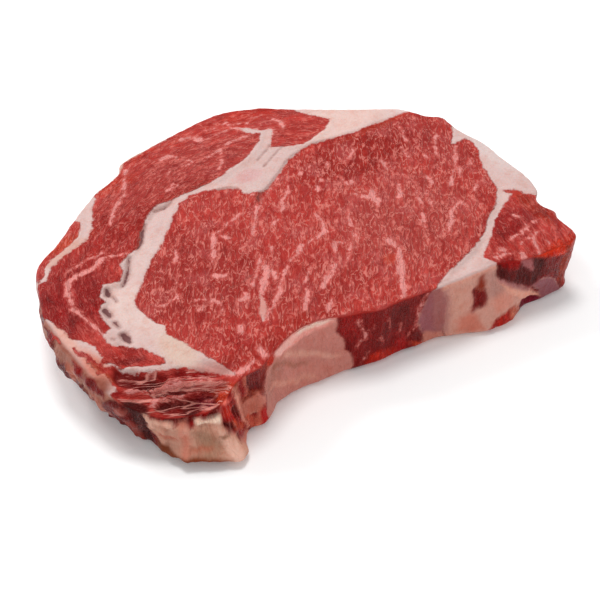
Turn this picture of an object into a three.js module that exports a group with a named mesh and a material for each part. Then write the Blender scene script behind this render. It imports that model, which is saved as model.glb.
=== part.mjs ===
// A raw ribeye steak: one boneless slice across the rib, about an inch thick, lying on the
// lower of its two cut faces. Millimetres, +Z up. +X runs along the longest side, +Y points
// to the fat cap, -Y to the hollow side where the rib bone was. The thin tail is at low X
// and low Y. The origin is under the middle of the part, on the surface that it lies on.
import * as THREE from 'three';

// ---- Driving dimensions, mm ---------------------------------------------------------------

const THICKNESS = 26.6;         // height of the upper cut face
const EDGE_ROUND = 1;           // rounding round the upper cut face
const FOOT_ROUND = 1;           // rounding round the face that it lies on
const SHOULDER = 17;            // how far in from its edge the cut face starts to sink to it
const RELIEF_FADE = 4;          // the relief of the cut face fades out this near to its edge
const BELLY_LEAN = 1.2;         // how much more the side swells at its top than at its foot
const TURN_REACH = 5;           // the edge's direction is taken from this far to each side
const RINGS = 30;               // rings of triangles from the middle of the cut face to its edge
const WALL_ROWS = 4;            // rows of faces on the side, between its two rounded edges
const ROUND_STEP = 0.3;         // a row lies this share of the way over each rounded edge
const SECTORS = 6;              // each ring gains this many points over the one inside it
const EDGE_POINTS = RINGS * SECTORS;

// The edge of the upper cut face, anticlockwise in stretches. height is how high the edge is,
// flare how far the foot stands out from under it, belly how far the side swells half way
// down. A pair runs from the first point of its stretch to the last.
const STRETCHES = [
  { name: 'end_muscle', height: [25.9, 26.4], flare: [-2, 0.5], belly: [0.2, 0],
    points: [[87.8, -68], [89.4, -60], [88.6, -51], [90, -44.2]] },
  { name: 'rib_end_fat', height: [26.4, 26.4], flare: [-1.5, -3], belly: [0, 0.5],
    points: [[94.2, -40.3], [96, -31], [95.9, -18], [95.8, -6], [93.2, 4.8], [93.3, 14], [88.8, 19.1]] },
  { name: 'back_fat', height: [26.4, 26.4], flare: [-2, -4.2], belly: [0.5, 0.5],
    points: [[85.6, 24.8], [80.2, 30.8], [68, 39], [54.8, 48.4], [44.6, 56], [33.8, 63.6]] },
  { name: 'cap', height: [26.4, 26.4], flare: [-4, -5], belly: [0.5, 0.5],
    points: [[20.2, 68.1], [4, 67.6], [-12.1, 65.5], [-26.3, 63.1], [-31.9, 57.7], [-45.3, 52],
      [-58, 43.7]] },
  { name: 'left_end', height: [26.4, 25.4], flare: [-5.2, -6], belly: [1.4, 2.6],
    points: [[-68.4, 36], [-78.7, 30], [-84.6, 19.2], [-88.6, 7], [-90.5, -6], [-90, -15],
      [-88.5, -24]] },
  { name: 'tail_shoulder', height: [23.4, 17.2], flare: [-6.5, 1], belly: [2.5, 0.5],
    points: [[-87, -33], [-83, -41], [-76, -48]] },
  { name: 'tail_slab', height: [17.2, 21.2], flare: [6.8, 9.8], belly: [0, 0],
    points: [[-67.5, -53.5], [-61, -56.8], [-56.5, -56.5]] },
  { name: 'flap', height: [26.4, 26.4], flare: [3.2, 0.6], belly: [0, 0],
    points: [[-50, -56], [-41.5, -55.7], [-33, -52.3]] },
  { name: 'rib_hollow', height: [26.4, 26.4], flare: [3.8, 4.2], belly: [-0.5, -0.3],
    points: [[-23, -49], [-14, -49.3]] },
  { name: 'lean_side', height: [26.4, 26.4], flare: [2.2, 0.2], belly: [-0.3, 0],
    points: [[-4, -53], [6, -56.5], [17, -58], [28, -60]] },
  { name: 'heel_fat', height: [26.4, 26.4], flare: [3.8, 6.2], belly: [0, 0.5],
    points: [[41, -61.5], [54, -62.8]] },
  { name: 'heel_tip', height: [25.4, 25.7], flare: [2, 0], belly: [0.5, 0],
    points: [[66, -66], [77, -68]] },
];

// Where two muscles meet, and where vessels and connective tissue ran, the cut face dips.
const SEAMS = [
  { name: 'eye_to_cap', depth: 1.4, width: 2.3,
    path: [[82, 25.5], [55, 26.5], [40, 29.5], [30, 28.5], [20, 22.5], [10, 17], [3, 11]] },
  { name: 'under_cap', depth: 1.3, width: 2.1,
    path: [[-6, 33], [-22, 33], [-31, 30.5], [-38, 26], [-46, 16]] },
  { name: 'cap_to_tail', depth: 1.3, width: 2.1, path: [[-51, 14], [-55, 8], [-60, 3]] },
  { name: 'first_vessel', depth: 1.4, width: 2.4, path: [[-65, 3], [-67, -1]] },
  { name: 'second_vessel', depth: 1.4, width: 2.4, path: [[-70, -3], [-72, -12]] },
  { name: 'third_vessel', depth: 1.4, width: 2.4, path: [[-71, -18], [-73, -21]] },
  { name: 'eye_to_end_muscle', depth: 1, width: 2.6,
    path: [[88, -12], [84, -30], [77, -39], [65, -47], [54, -54], [40, -57]] },
];

// Muscles stand a little proud of the fat between them: centre, half widths and rise. The rise is
// full in the middle and falls to 0 between these shares of the half widths.
const MUSCLE_FALL = [0.4, 1.1];
const MUSCLES = [
  { name: 'eye', at: [14, -12], half: [72, 40], rise: 0.9 },
  { name: 'cap', at: [-8, 48], half: [50, 17], rise: 0.7 },
  { name: 'left_band', at: [-74, 6], half: [16, 30], rise: 0.6 },
  { name: 'end_muscle', at: [76, -55], half: [16, 13], rise: 0.6 },
];

// The tail is torn along its fibres: ridges run beside this line and spread outward from it. They
// are full from start past its first point and end that far past its last, and fade over fade.
const TAIL = { from: [-80, -33], to: [-50, -50], ridge: 1.2, spacing: 7, wander: 0.8, bend: 5,
  start: 2, end: 4, fade: 8 };

// Lumps on the side, each centred beside a point of the edge: z is its height there, out how
// far it stands out (or sinks in, below 0), wide and tall its half sizes.
const LUMPS = [
  { name: 'silverskin_tab', at: [88.8, -52.3], z: 24, out: 3.6, wide: 3.4, tall: 2.6 },
  { name: 'heel_knuckle', at: [56, -63], z: 8, out: 1.3, wide: 9, tall: 7 },
  { name: 'heel_notch', at: [71, -67], z: 4, out: -2.2, wide: 5, tall: 5 },
  { name: 'rib_face', at: [-8, -51], z: 14, out: -1.2, wide: 16, tall: 8 },
  { name: 'lean_face', at: [12, -57], z: 15, out: 1, wide: 12, tall: 8 },
  { name: 'flap_fold', at: [-46, -56], z: 12, out: -1.4, wide: 4, tall: 9 },
  { name: 'slab_lip', at: [-64, -55.5], z: 15, out: -1.3, wide: 9, tall: 2 },
  { name: 'tail_lobe', at: [-86, -33], z: 15, out: 1.2, wide: 6, tall: 6 },
  { name: 'tail_notch', at: [-83, -41], z: 2, out: -1.4, wide: 5, tall: 9 },
  { name: 'left_hollow', at: [-89, -20], z: 13, out: -1, wide: 5, tall: 8 },
  { name: 'cap_lobe', at: [-20, 63.5], z: 14, out: 1.4, wide: 14, tall: 8 },
  { name: 'back_hollow', at: [46, 52], z: 13, out: -1.3, wide: 9, tall: 8 },
];
const RIPPLE = { out: 0.35, spacing: 17 };      // slow waviness all along the side

const MEAT = { color: 0xa83a37, roughness: 0.45, metalness: 0 };

// ---- The edge and the foot ------------------------------------------------------------------

const lerp = THREE.MathUtils.lerp;
const smooth = THREE.MathUtils.smoothstep;

// Two closed curves through the same stations: the edge itself, and its flare and belly.
function stationCurves() {
  const edge = [];
  const shape = [];
  for (const { height, flare, belly, points } of STRETCHES) {
    points.forEach(([x, y], index) => {
      const along = index / (points.length - 1);
      edge.push(new THREE.Vector3(x, y, lerp(...height, along)));
      shape.push(new THREE.Vector3(lerp(...flare, along), lerp(...belly, along), 0));
    });
  }
  return [edge, shape].map((stations) => {
    const curve = new THREE.CatmullRomCurve3(stations, true, 'catmullrom', 0.5);
    curve.arcLengthDivisions = 3000;
    return curve;
  });
}

const [edgeCurve, shapeCurve] = stationCurves();
const EDGE_LENGTH = edgeCurve.getLength();

// One place on the edge, share from 0 to 1 along its length: its point, its horizontal outward
// direction, and the flare and belly of the side below it.
function edgeAt(share) {
  const u = THREE.MathUtils.euclideanModulo(share, 1);
  const reach = TURN_REACH / EDGE_LENGTH;
  const before = edgeCurve.getPointAt(THREE.MathUtils.euclideanModulo(u - reach, 1));
  const after = edgeCurve.getPointAt(THREE.MathUtils.euclideanModulo(u + reach, 1));
  const outward = new THREE.Vector2(after.y - before.y, before.x - after.x).normalize();
  const shape = shapeCurve.getPoint(edgeCurve.getUtoTmapping(u));
  return { point: edgeCurve.getPointAt(u), outward, flare: shape.x, belly: shape.y, share: u };
}

const EDGE = Array.from({ length: EDGE_POINTS }, (_, index) => edgeAt(index / EDGE_POINTS));

// ---- The side -------------------------------------------------------------------------------

function bell(distance, half) {
  return Math.exp(-((distance / half) ** 2));
}

function lumpsAt(point, z) {
  return LUMPS.reduce((sum, lump) => {
    const beside = Math.hypot(point.x - lump.at[0], point.y - lump.at[1]);
    return sum + lump.out * bell(beside, lump.wide) * bell(z - lump.z, lump.tall);
  }, 0);
}

// How far the rounded edges pull the side in at height z: a quarter ellipse at each end.
function roundingAt(z, height) {
  const top = Math.max(0, 1 - (height - z) / EDGE_ROUND);
  const foot = Math.max(0, 1 - z / FOOT_ROUND);
  return EDGE_ROUND * (1 - Math.sqrt(1 - top * top)) + FOOT_ROUND * (1 - Math.sqrt(1 - foot * foot));
}

// The point of the side below one place of the edge, at height z.
function sidePoint(place, z) {
  const { point, outward, flare, belly, share } = place;
  const up = z / point.z;
  const free = 4 * up * (1 - up) * (1 + BELLY_LEAN * (up - 0.5));     // 0 at both edges
  const ripple = RIPPLE.out * Math.sin((2 * Math.PI * share * EDGE_LENGTH) / RIPPLE.spacing);
  const out = flare * (1 - up) + free * (belly + ripple) + lumpsAt(point, z);
  const side = new THREE.Vector2(point.x, point.y).addScaledVector(outward, out);
  side.multiplyScalar(1 - roundingAt(z, point.z) / side.length());
  return [side.x, side.y, z];
}

// Heights of the rows of the side, from the foot up: close together on the rounded edges.
function rowHeights(height) {
  const middle = Array.from({ length: WALL_ROWS + 1 },
    (_, row) => lerp(FOOT_ROUND, height - EDGE_ROUND, row / WALL_ROWS));
  return [0, FOOT_ROUND * ROUND_STEP, ...middle, height - EDGE_ROUND * ROUND_STEP, height];
}

// ---- The cut face ----------------------------------------------------------------------------

function distanceToSegment(x, y, [ax, ay], [bx, by]) {
  const length2 = (bx - ax) ** 2 + (by - ay) ** 2;
  const along = THREE.MathUtils.clamp(((x - ax) * (bx - ax) + (y - ay) * (by - ay)) / length2, 0, 1);
  return Math.hypot(x - lerp(ax, bx, along), y - lerp(ay, by, along));
}

function distanceToPath(x, y, path) {
  const distances = path.slice(1).map((end, index) => distanceToSegment(x, y, path[index], end));
  return Math.min(...distances);
}

// The torn ridges of the tail, 0 away from it.
function tailRidges(x, y) {
  const [dx, dy] = [TAIL.to[0] - TAIL.from[0], TAIL.to[1] - TAIL.from[1]];
  const length = Math.hypot(dx, dy);
  const along = ((x - TAIL.from[0]) * dx + (y - TAIL.from[1]) * dy) / length;
  const across = ((x - TAIL.from[0]) * dy - (y - TAIL.from[1]) * dx) / length;
  const inside = smooth(across, 0, TAIL.fade / 2) * smooth(along, TAIL.start - TAIL.fade, TAIL.start)
    * smooth(length + TAIL.end - along, 0, TAIL.fade);
  const wave = (2 * Math.PI * across) / TAIL.spacing + TAIL.wander * Math.sin(along / TAIL.bend);
  return TAIL.ridge * inside * Math.sin(wave);
}

// Height of the cut face's relief over its plane, before it sinks to the edge.
function reliefAt(x, y) {
  let relief = tailRidges(x, y);
  for (const { at, half, rise } of MUSCLES) {
    const off = Math.hypot((x - at[0]) / half[0], (y - at[1]) / half[1]);
    relief += rise * (1 - smooth(off, ...MUSCLE_FALL));
  }
  for (const { depth, width, path } of SEAMS) {
    relief -= depth * bell(distanceToPath(x, y, path), width);
  }
  return relief;
}

// A point of the cut face: share along the edge, and reach from 0 in the middle to 1 at the edge.
function facePoint(rim, reach) {
  const [x, y] = [rim[0] * reach, rim[1] * reach];
  const inward = Math.hypot(rim[0] - x, rim[1] - y);
  const plateau = smooth(inward, 0, SHOULDER);
  const level = lerp(rim[2], THICKNESS, plateau);
  return [x, y, level + reliefAt(x, y) * smooth(inward, 0, RELIEF_FADE)];
}

// ---- The solid ----------------------------------------------------------------------------------

function steakGeometry() {
  const positions = [];
  const faces = [];
  const addPoint = (point) => positions.push(...point) / 3 - 1;

  // The side, row by row up from the foot.
  const columns = EDGE.map((place) => rowHeights(place.point.z).map((z) => sidePoint(place, z)));
  const rowCount = columns[0].length;
  const rows = Array.from({ length: rowCount }, (_, row) => columns.map((column) => addPoint(column[row])));
  for (let row = 1; row < rowCount; row += 1) {
    for (let index = 0; index < EDGE_POINTS; index += 1) {
      const next = (index + 1) % EDGE_POINTS;
      const [a, b, c, d] = [rows[row - 1][index], rows[row - 1][next], rows[row][next], rows[row][index]];
      faces.push(a, b, c, a, c, d);
    }
  }

  // The cut face: rings of 6, 12, 18 and so on points round a middle point, out to the side's
  // top row. The place of a ring's point along the edge is read off that row.
  const rimAlong = (along) => {
    const place = along * EDGE_POINTS;
    const low = Math.floor(place) % EDGE_POINTS;
    const high = (low + 1) % EDGE_POINTS;
    const [from, to] = [columns[low][rowCount - 1], columns[high][rowCount - 1]];
    return from.map((value, axis) => lerp(value, to[axis], place - Math.floor(place)));
  };
  let inner = [addPoint([0, 0, THICKNESS + reliefAt(0, 0)])];
  for (let ring = 1; ring <= RINGS; ring += 1) {
    const count = ring * SECTORS;
    const outer = ring === RINGS ? rows[rowCount - 1] : Array.from({ length: count },
      (_, index) => addPoint(facePoint(rimAlong(index / count), ring / RINGS)));
    for (let sector = 0; sector < SECTORS; sector += 1) {
      for (let step = 0; step < ring; step += 1) {
        const a = outer[sector * ring + step];
        const b = outer[(sector * ring + step + 1) % count];
        const c = inner[(sector * (ring - 1) + step) % inner.length];
        faces.push(a, b, c);
        if (step < ring - 1) {
          faces.push(c, b, inner[(sector * (ring - 1) + step + 1) % inner.length]);
        }
      }
    }
    inner = outer;
  }

  // The flat face that it lies on.
  const outline = columns.map((column) => new THREE.Vector2(column[0][0], column[0][1]));
  for (const [a, b, c] of THREE.ShapeUtils.triangulateShape(outline, [])) {
    faces.push(rows[0][a], rows[0][c], rows[0][b]);
  }

  const geometry = new THREE.BufferGeometry();
  geometry.setAttribute('position', new THREE.Float32BufferAttribute(positions, 3));
  geometry.setIndex(faces);
  geometry.computeBoundingBox();
  const middle = geometry.boundingBox.getCenter(new THREE.Vector3());
  geometry.translate(-middle.x, -middle.y, 0);
  geometry.computeVertexNormals();
  return geometry;
}

const steak = new THREE.Mesh(steakGeometry(), new THREE.MeshStandardMaterial(MEAT));
steak.name = 'steak';

const part = new THREE.Group();
part.add(steak);

export default part;
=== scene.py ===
"""A raw ribeye steak on a plain pale floor: one boneless slice across the rib, with its cut
face up, its fat cap towards +Y and its thin tail at low X and low Y.

Shapes and patterns are worked out in millimetres round the point where the slice was drawn,
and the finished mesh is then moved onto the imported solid, in metres.
"""
import math

import bpy
import numpy as np
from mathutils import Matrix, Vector, noise


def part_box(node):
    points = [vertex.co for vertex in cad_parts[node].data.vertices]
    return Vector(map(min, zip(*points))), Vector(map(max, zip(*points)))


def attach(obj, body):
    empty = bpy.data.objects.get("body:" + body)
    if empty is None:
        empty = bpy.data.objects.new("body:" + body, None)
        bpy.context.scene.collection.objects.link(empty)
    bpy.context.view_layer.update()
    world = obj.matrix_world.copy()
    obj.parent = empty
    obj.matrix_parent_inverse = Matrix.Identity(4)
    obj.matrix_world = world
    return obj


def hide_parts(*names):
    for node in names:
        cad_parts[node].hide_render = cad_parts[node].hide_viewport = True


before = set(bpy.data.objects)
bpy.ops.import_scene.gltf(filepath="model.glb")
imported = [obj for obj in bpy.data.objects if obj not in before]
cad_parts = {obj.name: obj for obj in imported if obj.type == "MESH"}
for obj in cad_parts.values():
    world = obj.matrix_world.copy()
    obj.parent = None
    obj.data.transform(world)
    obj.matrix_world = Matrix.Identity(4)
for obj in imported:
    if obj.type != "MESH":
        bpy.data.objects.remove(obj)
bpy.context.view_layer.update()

MM = 0.001

# ---- The slice, mm ----

THICKNESS = 26.6        # height of the upper cut face
EDGE_ROUND = 1          # rounding round the upper cut face
FOOT_ROUND = 1          # rounding round the face that it lies on
SHOULDER = 17           # how far in from its edge the cut face starts to sink to it
RIPPLE = 0.35           # slow waviness all along the side
RIPPLE_SPACING = 17
BELLY_LOW = 0.4         # fullness of the side's belly at the foot,
BELLY_MORE = 1.2        # and how much it gains up to the edge
LOOK_ASIDE = 5          # the side faces away from the line between edge points this far to each side

SECTORS = 6             # each ring of the cut faces gains this many points over the one inside it
RINGS = 120             # rings of the upper face
FOOT_RINGS = RINGS // 2
FOOT_GAP = 0.3          # the last of them is this share of a ring short of the side
FOOT_ROWS = 3           # rows of faces on the side: on its lower rounding,
SIDE_ROWS = 48          # between the roundings,
EDGE_ROWS = 4           # and on its upper rounding
EDGE_SAMPLES = 8000     # steps along the edge that its length is measured in

# The edge of the upper cut face: name, heights, flares of the foot and bellies of the side, each
# from the first point of the stretch to its last, and its points.
STRETCHES = (
    ("end_muscle", (25.9, 26.4), (-2, 0.5), (0.2, 0), "87.8,-68 89.4,-60 88.6,-51 90,-44.2"),
    ("rib_end_fat", (26.4, 26.4), (-1.5, -3), (0, 0.5),
     "94.2,-40.3 96,-31 95.9,-18 95.8,-6 93.2,4.8 93.3,14 88.8,19.1"),
    ("back_fat", (26.4, 26.4), (-2, -4.2), (0.5, 0.5),
     "85.6,24.8 80.2,30.8 68,39 54.8,48.4 44.6,56 33.8,63.6"),
    ("cap", (26.4, 26.4), (-4, -5), (0.5, 0.5),
     "20.2,68.1 4,67.6 -12.1,65.5 -26.3,63.1 -31.9,57.7 -45.3,52 -58,43.7"),
    ("left_end", (26.4, 25.4), (-5.2, -6), (1.4, 2.6),
     "-68.4,36 -78.7,30 -84.6,19.2 -88.6,7 -90.5,-6 -90,-15 -88.5,-24"),
    ("tail_shoulder", (23.4, 17.2), (-6.5, 1), (2.5, 0.5), "-87,-33 -83,-41 -76,-48"),
    ("tail_slab", (17.2, 21.2), (6.8, 9.8), (0, 0), "-67.5,-53.5 -61,-56.8 -56.5,-56.5"),
    ("flap", (26.4, 26.4), (3.2, 0.6), (0, 0), "-50,-56 -41.5,-55.7 -33,-52.3"),
    ("rib_hollow", (26.4, 26.4), (3.8, 4.2), (-0.5, -0.3), "-23,-49 -14,-49.3"),
    ("lean_side", (26.4, 26.4), (2.2, 0.2), (-0.3, 0), "-4,-53 6,-56.5 17,-58 28,-60"),
    ("heel_fat", (26.4, 26.4), (3.8, 6.2), (0, 0.5), "41,-61.5 54,-62.8"),
    ("heel_tip", (25.4, 25.7), (2, 0), (0.5, 0), "66,-66 77,-68"),
)

# Where muscles meet and vessels ran, the cut face dips: depth, width and path.
SEAMS = (
    (0.8, 2.0, "82,25.5 55,26.5 40,29.5 30,28.5 20,22.5 10,17 3,11"),
    (1.3, 2.1, "-6,33 -22,33 -31,30.5 -38,26 -46,16"),
    (1.3, 2.1, "-51,14 -55,8 -60,3"),
    (1.4, 2.4, "-65,3 -67,-1"),
    (1.4, 2.4, "-70,-3 -72,-12"),
    (1.4, 2.4, "-71,-18 -73,-21"),
    (1.0, 2.6, "88,-12 84,-30 77,-39 65,-47 54,-54 40,-57"),
)

# Muscles stand proud of the fat between them: centre, half widths and rise.
MUSCLES = (
    ((14, -12), (72, 40), 0.9),
    ((-8, 48), (50, 17), 0.7),
    ((-74, 6), (16, 30), 0.6),
    ((76, -55), (16, 13), 0.6),
)
MUSCLE_FADE = (0.4, 1.1)    # the shares of its half widths that a muscle's rise fades between

TAIL_FROM, TAIL_TO = (-80, -33), (-50, -50)
TAIL_RIDGE, TAIL_SPACING, TAIL_WANDER = 1.2, 7, 0.8

# Lumps on the side: beside which point of the edge, height, how far out, and half sizes.
LUMPS = (
    ((88.8, -52.3), 24, 3.6, 3.4, 2.6),
    ((56, -63), 8, 1.3, 9, 7),
    ((71, -67), 4, -2.2, 5, 5),
    ((-8, -51), 14, -1.2, 16, 8),
    ((12, -57), 15, 1, 12, 8),
    ((-46, -56), 12, -1.4, 4, 9),
    ((-64, -55.5), 15, -1.3, 9, 2),
    ((-86, -33), 15, 1.2, 6, 6),
    ((-83, -41), 2, -1.4, 5, 9),
    ((-89, -20), 13, -1, 5, 8),
    ((-20, 63.5), 14, 1.4, 14, 8),
    ((46, 52), 13, -1.3, 9, 8),
)

# The side bulges just over its foot and tucks in below that. Each value is for most of the side,
# and how much more it is under the slab.
BULGE_OUT = (0.5, 3)
BULGE_HEIGHT = (2.4, 2)
BULGE_HALF = (1.6, 1.2)
TUCK_IN = (0.7, 6)
TUCK_TOP = (2, 2.4)
SLAB_MIDDLE, SLAB_HALF = 1, 12      # along the side

# ---- What shows on the cut face, mm ----
# In the tables written as text, an entry goes up to its semicolon. Points are x,y with no space.

PATTERN_HEIGHT = 26.8       # the pattern's places are read at this height,
PATTERN_LEAN = (0.574, 0.819)   # and slide this far over for each mm that the face lies lower

# Fat, by outlines.
FAT = {
    "crescent": """96,25 92,40 72,50 50,62 46.5,53.5 47.5,50 51.5,44 55.3,39.5 53,37 49,34.5 41,32.5
        37,32 33,33.5 27,36.5 25.5,38 30.5,43.5 32.3,46.8 28,48.5 25.5,52 21.5,55 23,51 24,49 27,47
        24,43.5 18,39.5 12,36.8 5,35.5 0,33.8 -8,33 -22,33 -28,33.5 -33,31.5 -37,28 -40,25 -43,20.5
        -46,17 -51,15.8 -55.5,13 -57,9 -60,5.5 -65,7.5 -69,3 -69,0 -73,-3 -74,-6 -73.5,-12.5
        -77,-14.5 -77.5,-17 -74,-22.5 -69.5,-27 -67,-31.5 -65.5,-34 -66.5,-37 -72,-34.5 -78,-30.5
        -84,-24 -82.5,-27 -76,-35.5 -69,-39 -63,-41.5 -60,-45 -56,-50.5 -50.5,-54.5 -51.5,-50
        -52.5,-45 -54.5,-39 -56,-35 -57,-31 -59.5,-25.5 -57.5,-22 -60,-19 -60.5,-15 -61.2,-8
        -60,-5.5 -54,0 -45,9 -39,12.5 -31,20 -25,25.8 -21,29.3 -16,31 -10,30 -4,27.6 1.5,24
        1.5,19.5 4.5,19.3 8.5,16.8 14,19.5 20,23 26,26.8 32,28.8 40,30 47,28.7 60,26.3 72,25.8
        82,25.2""",
    "left_edge": """-94,8 -88.6,4 -87.8,0 -86,-9 -84,-11.5 -82.5,-14.5 -82,-19 -81,-27 -83,-27
        -86,-20 -86.3,-15 -87.5,-13 -89,-17 -90,-20 -94,-16""",
    "rib_end": """100,6 92,7 90.5,5.5 87.5,1.5 84.5,-1.5 86.5,-1.8 91.5,-1.8 92.5,-3.5 91,-9
        90.3,-11.5 87,-16 84.5,-23.5 81.5,-32 79.5,-34.5 73.5,-39.5 67.5,-43 62,-47.8 55,-51
        47,-53.8 37,-56.5 30,-59.5 28.5,-62 52,-68 54.5,-62.5 52.5,-58 57,-54.5 63,-50.5 69,-45.5
        75,-41.7 81,-39 86,-36 87.5,-39.5 91,-43.5 101,-44""",
    "left_rim": """-45,54 -50,52 -58,46 -58,43 -56.5,41 -58,38 -61,34.5 -66,32 -73,29.5 -79,26
        -84,21 -82,20.5 -76,25 -72,27 -65,29.5 -58,31.5 -54,36 -51,41 -48.5,46 -45,49.5""",
    "long_fleck": "-22.5,-27 -24,-33.5 -26.5,-37 -29.5,-39 -28.5,-35 -25.5,-31",
    "cap_rim": "-46,56 -45,51.5 -38,54.3 -32,56.6 -28,60 -25.5,62.2 -12,64.3 -2,66 -2,70 -30,68",
    "salmon_lumps": "-88.5,-15 -87.5,-20 -86.6,-26 -85.2,-30 -85.3,-34.5 -87,-38.5 -95,-38 -95,-17",
}

# Lean inside the fat, by outlines.
LEAN_IN_FAT = {
    "tail_islet": """-86.5,-22.5 -83.5,-23.2 -81,-22 -78.5,-21 -76,-22.5 -73,-25.5 -70.5,-27 -69.5,-29.5
        -70.5,-31.5 -74,-32 -77,-30.5 -80,-28 -83.5,-25.5""",
    "small_islet": "-72.5,-33 -70,-32 -67.5,-32.5 -66,-34 -66.5,-36.5 -69,-36 -72,-34.3",
    "rib_streak": "82,-33.5 84.5,-34.5 88,-38.5 86.5,-40 83.5,-37",
    "tail_spot": "-67.5,-42 -65.5,-41.2 -63,-42.5 -62.8,-44.5 -65,-45.2 -67,-43.8",
    "low_spot": "-62.5,-46 -60,-45.3 -58,-48 -58.6,-50 -61.5,-48.8 -63,-47.5",
    "salmon_cleft": "-88,-13 -86.7,-13.5 -85.8,-18 -86.3,-23 -87.8,-22 -88.2,-18",
    "salmon_gap": "-88,-27.5 -86,-27 -84.5,-28.5 -85.5,-29.8 -87.5,-29.5",
    "rim_lump": "-93,-3 -90.6,-3.5 -89.8,-6.5 -90.4,-9.5 -93,-9",
}

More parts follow.
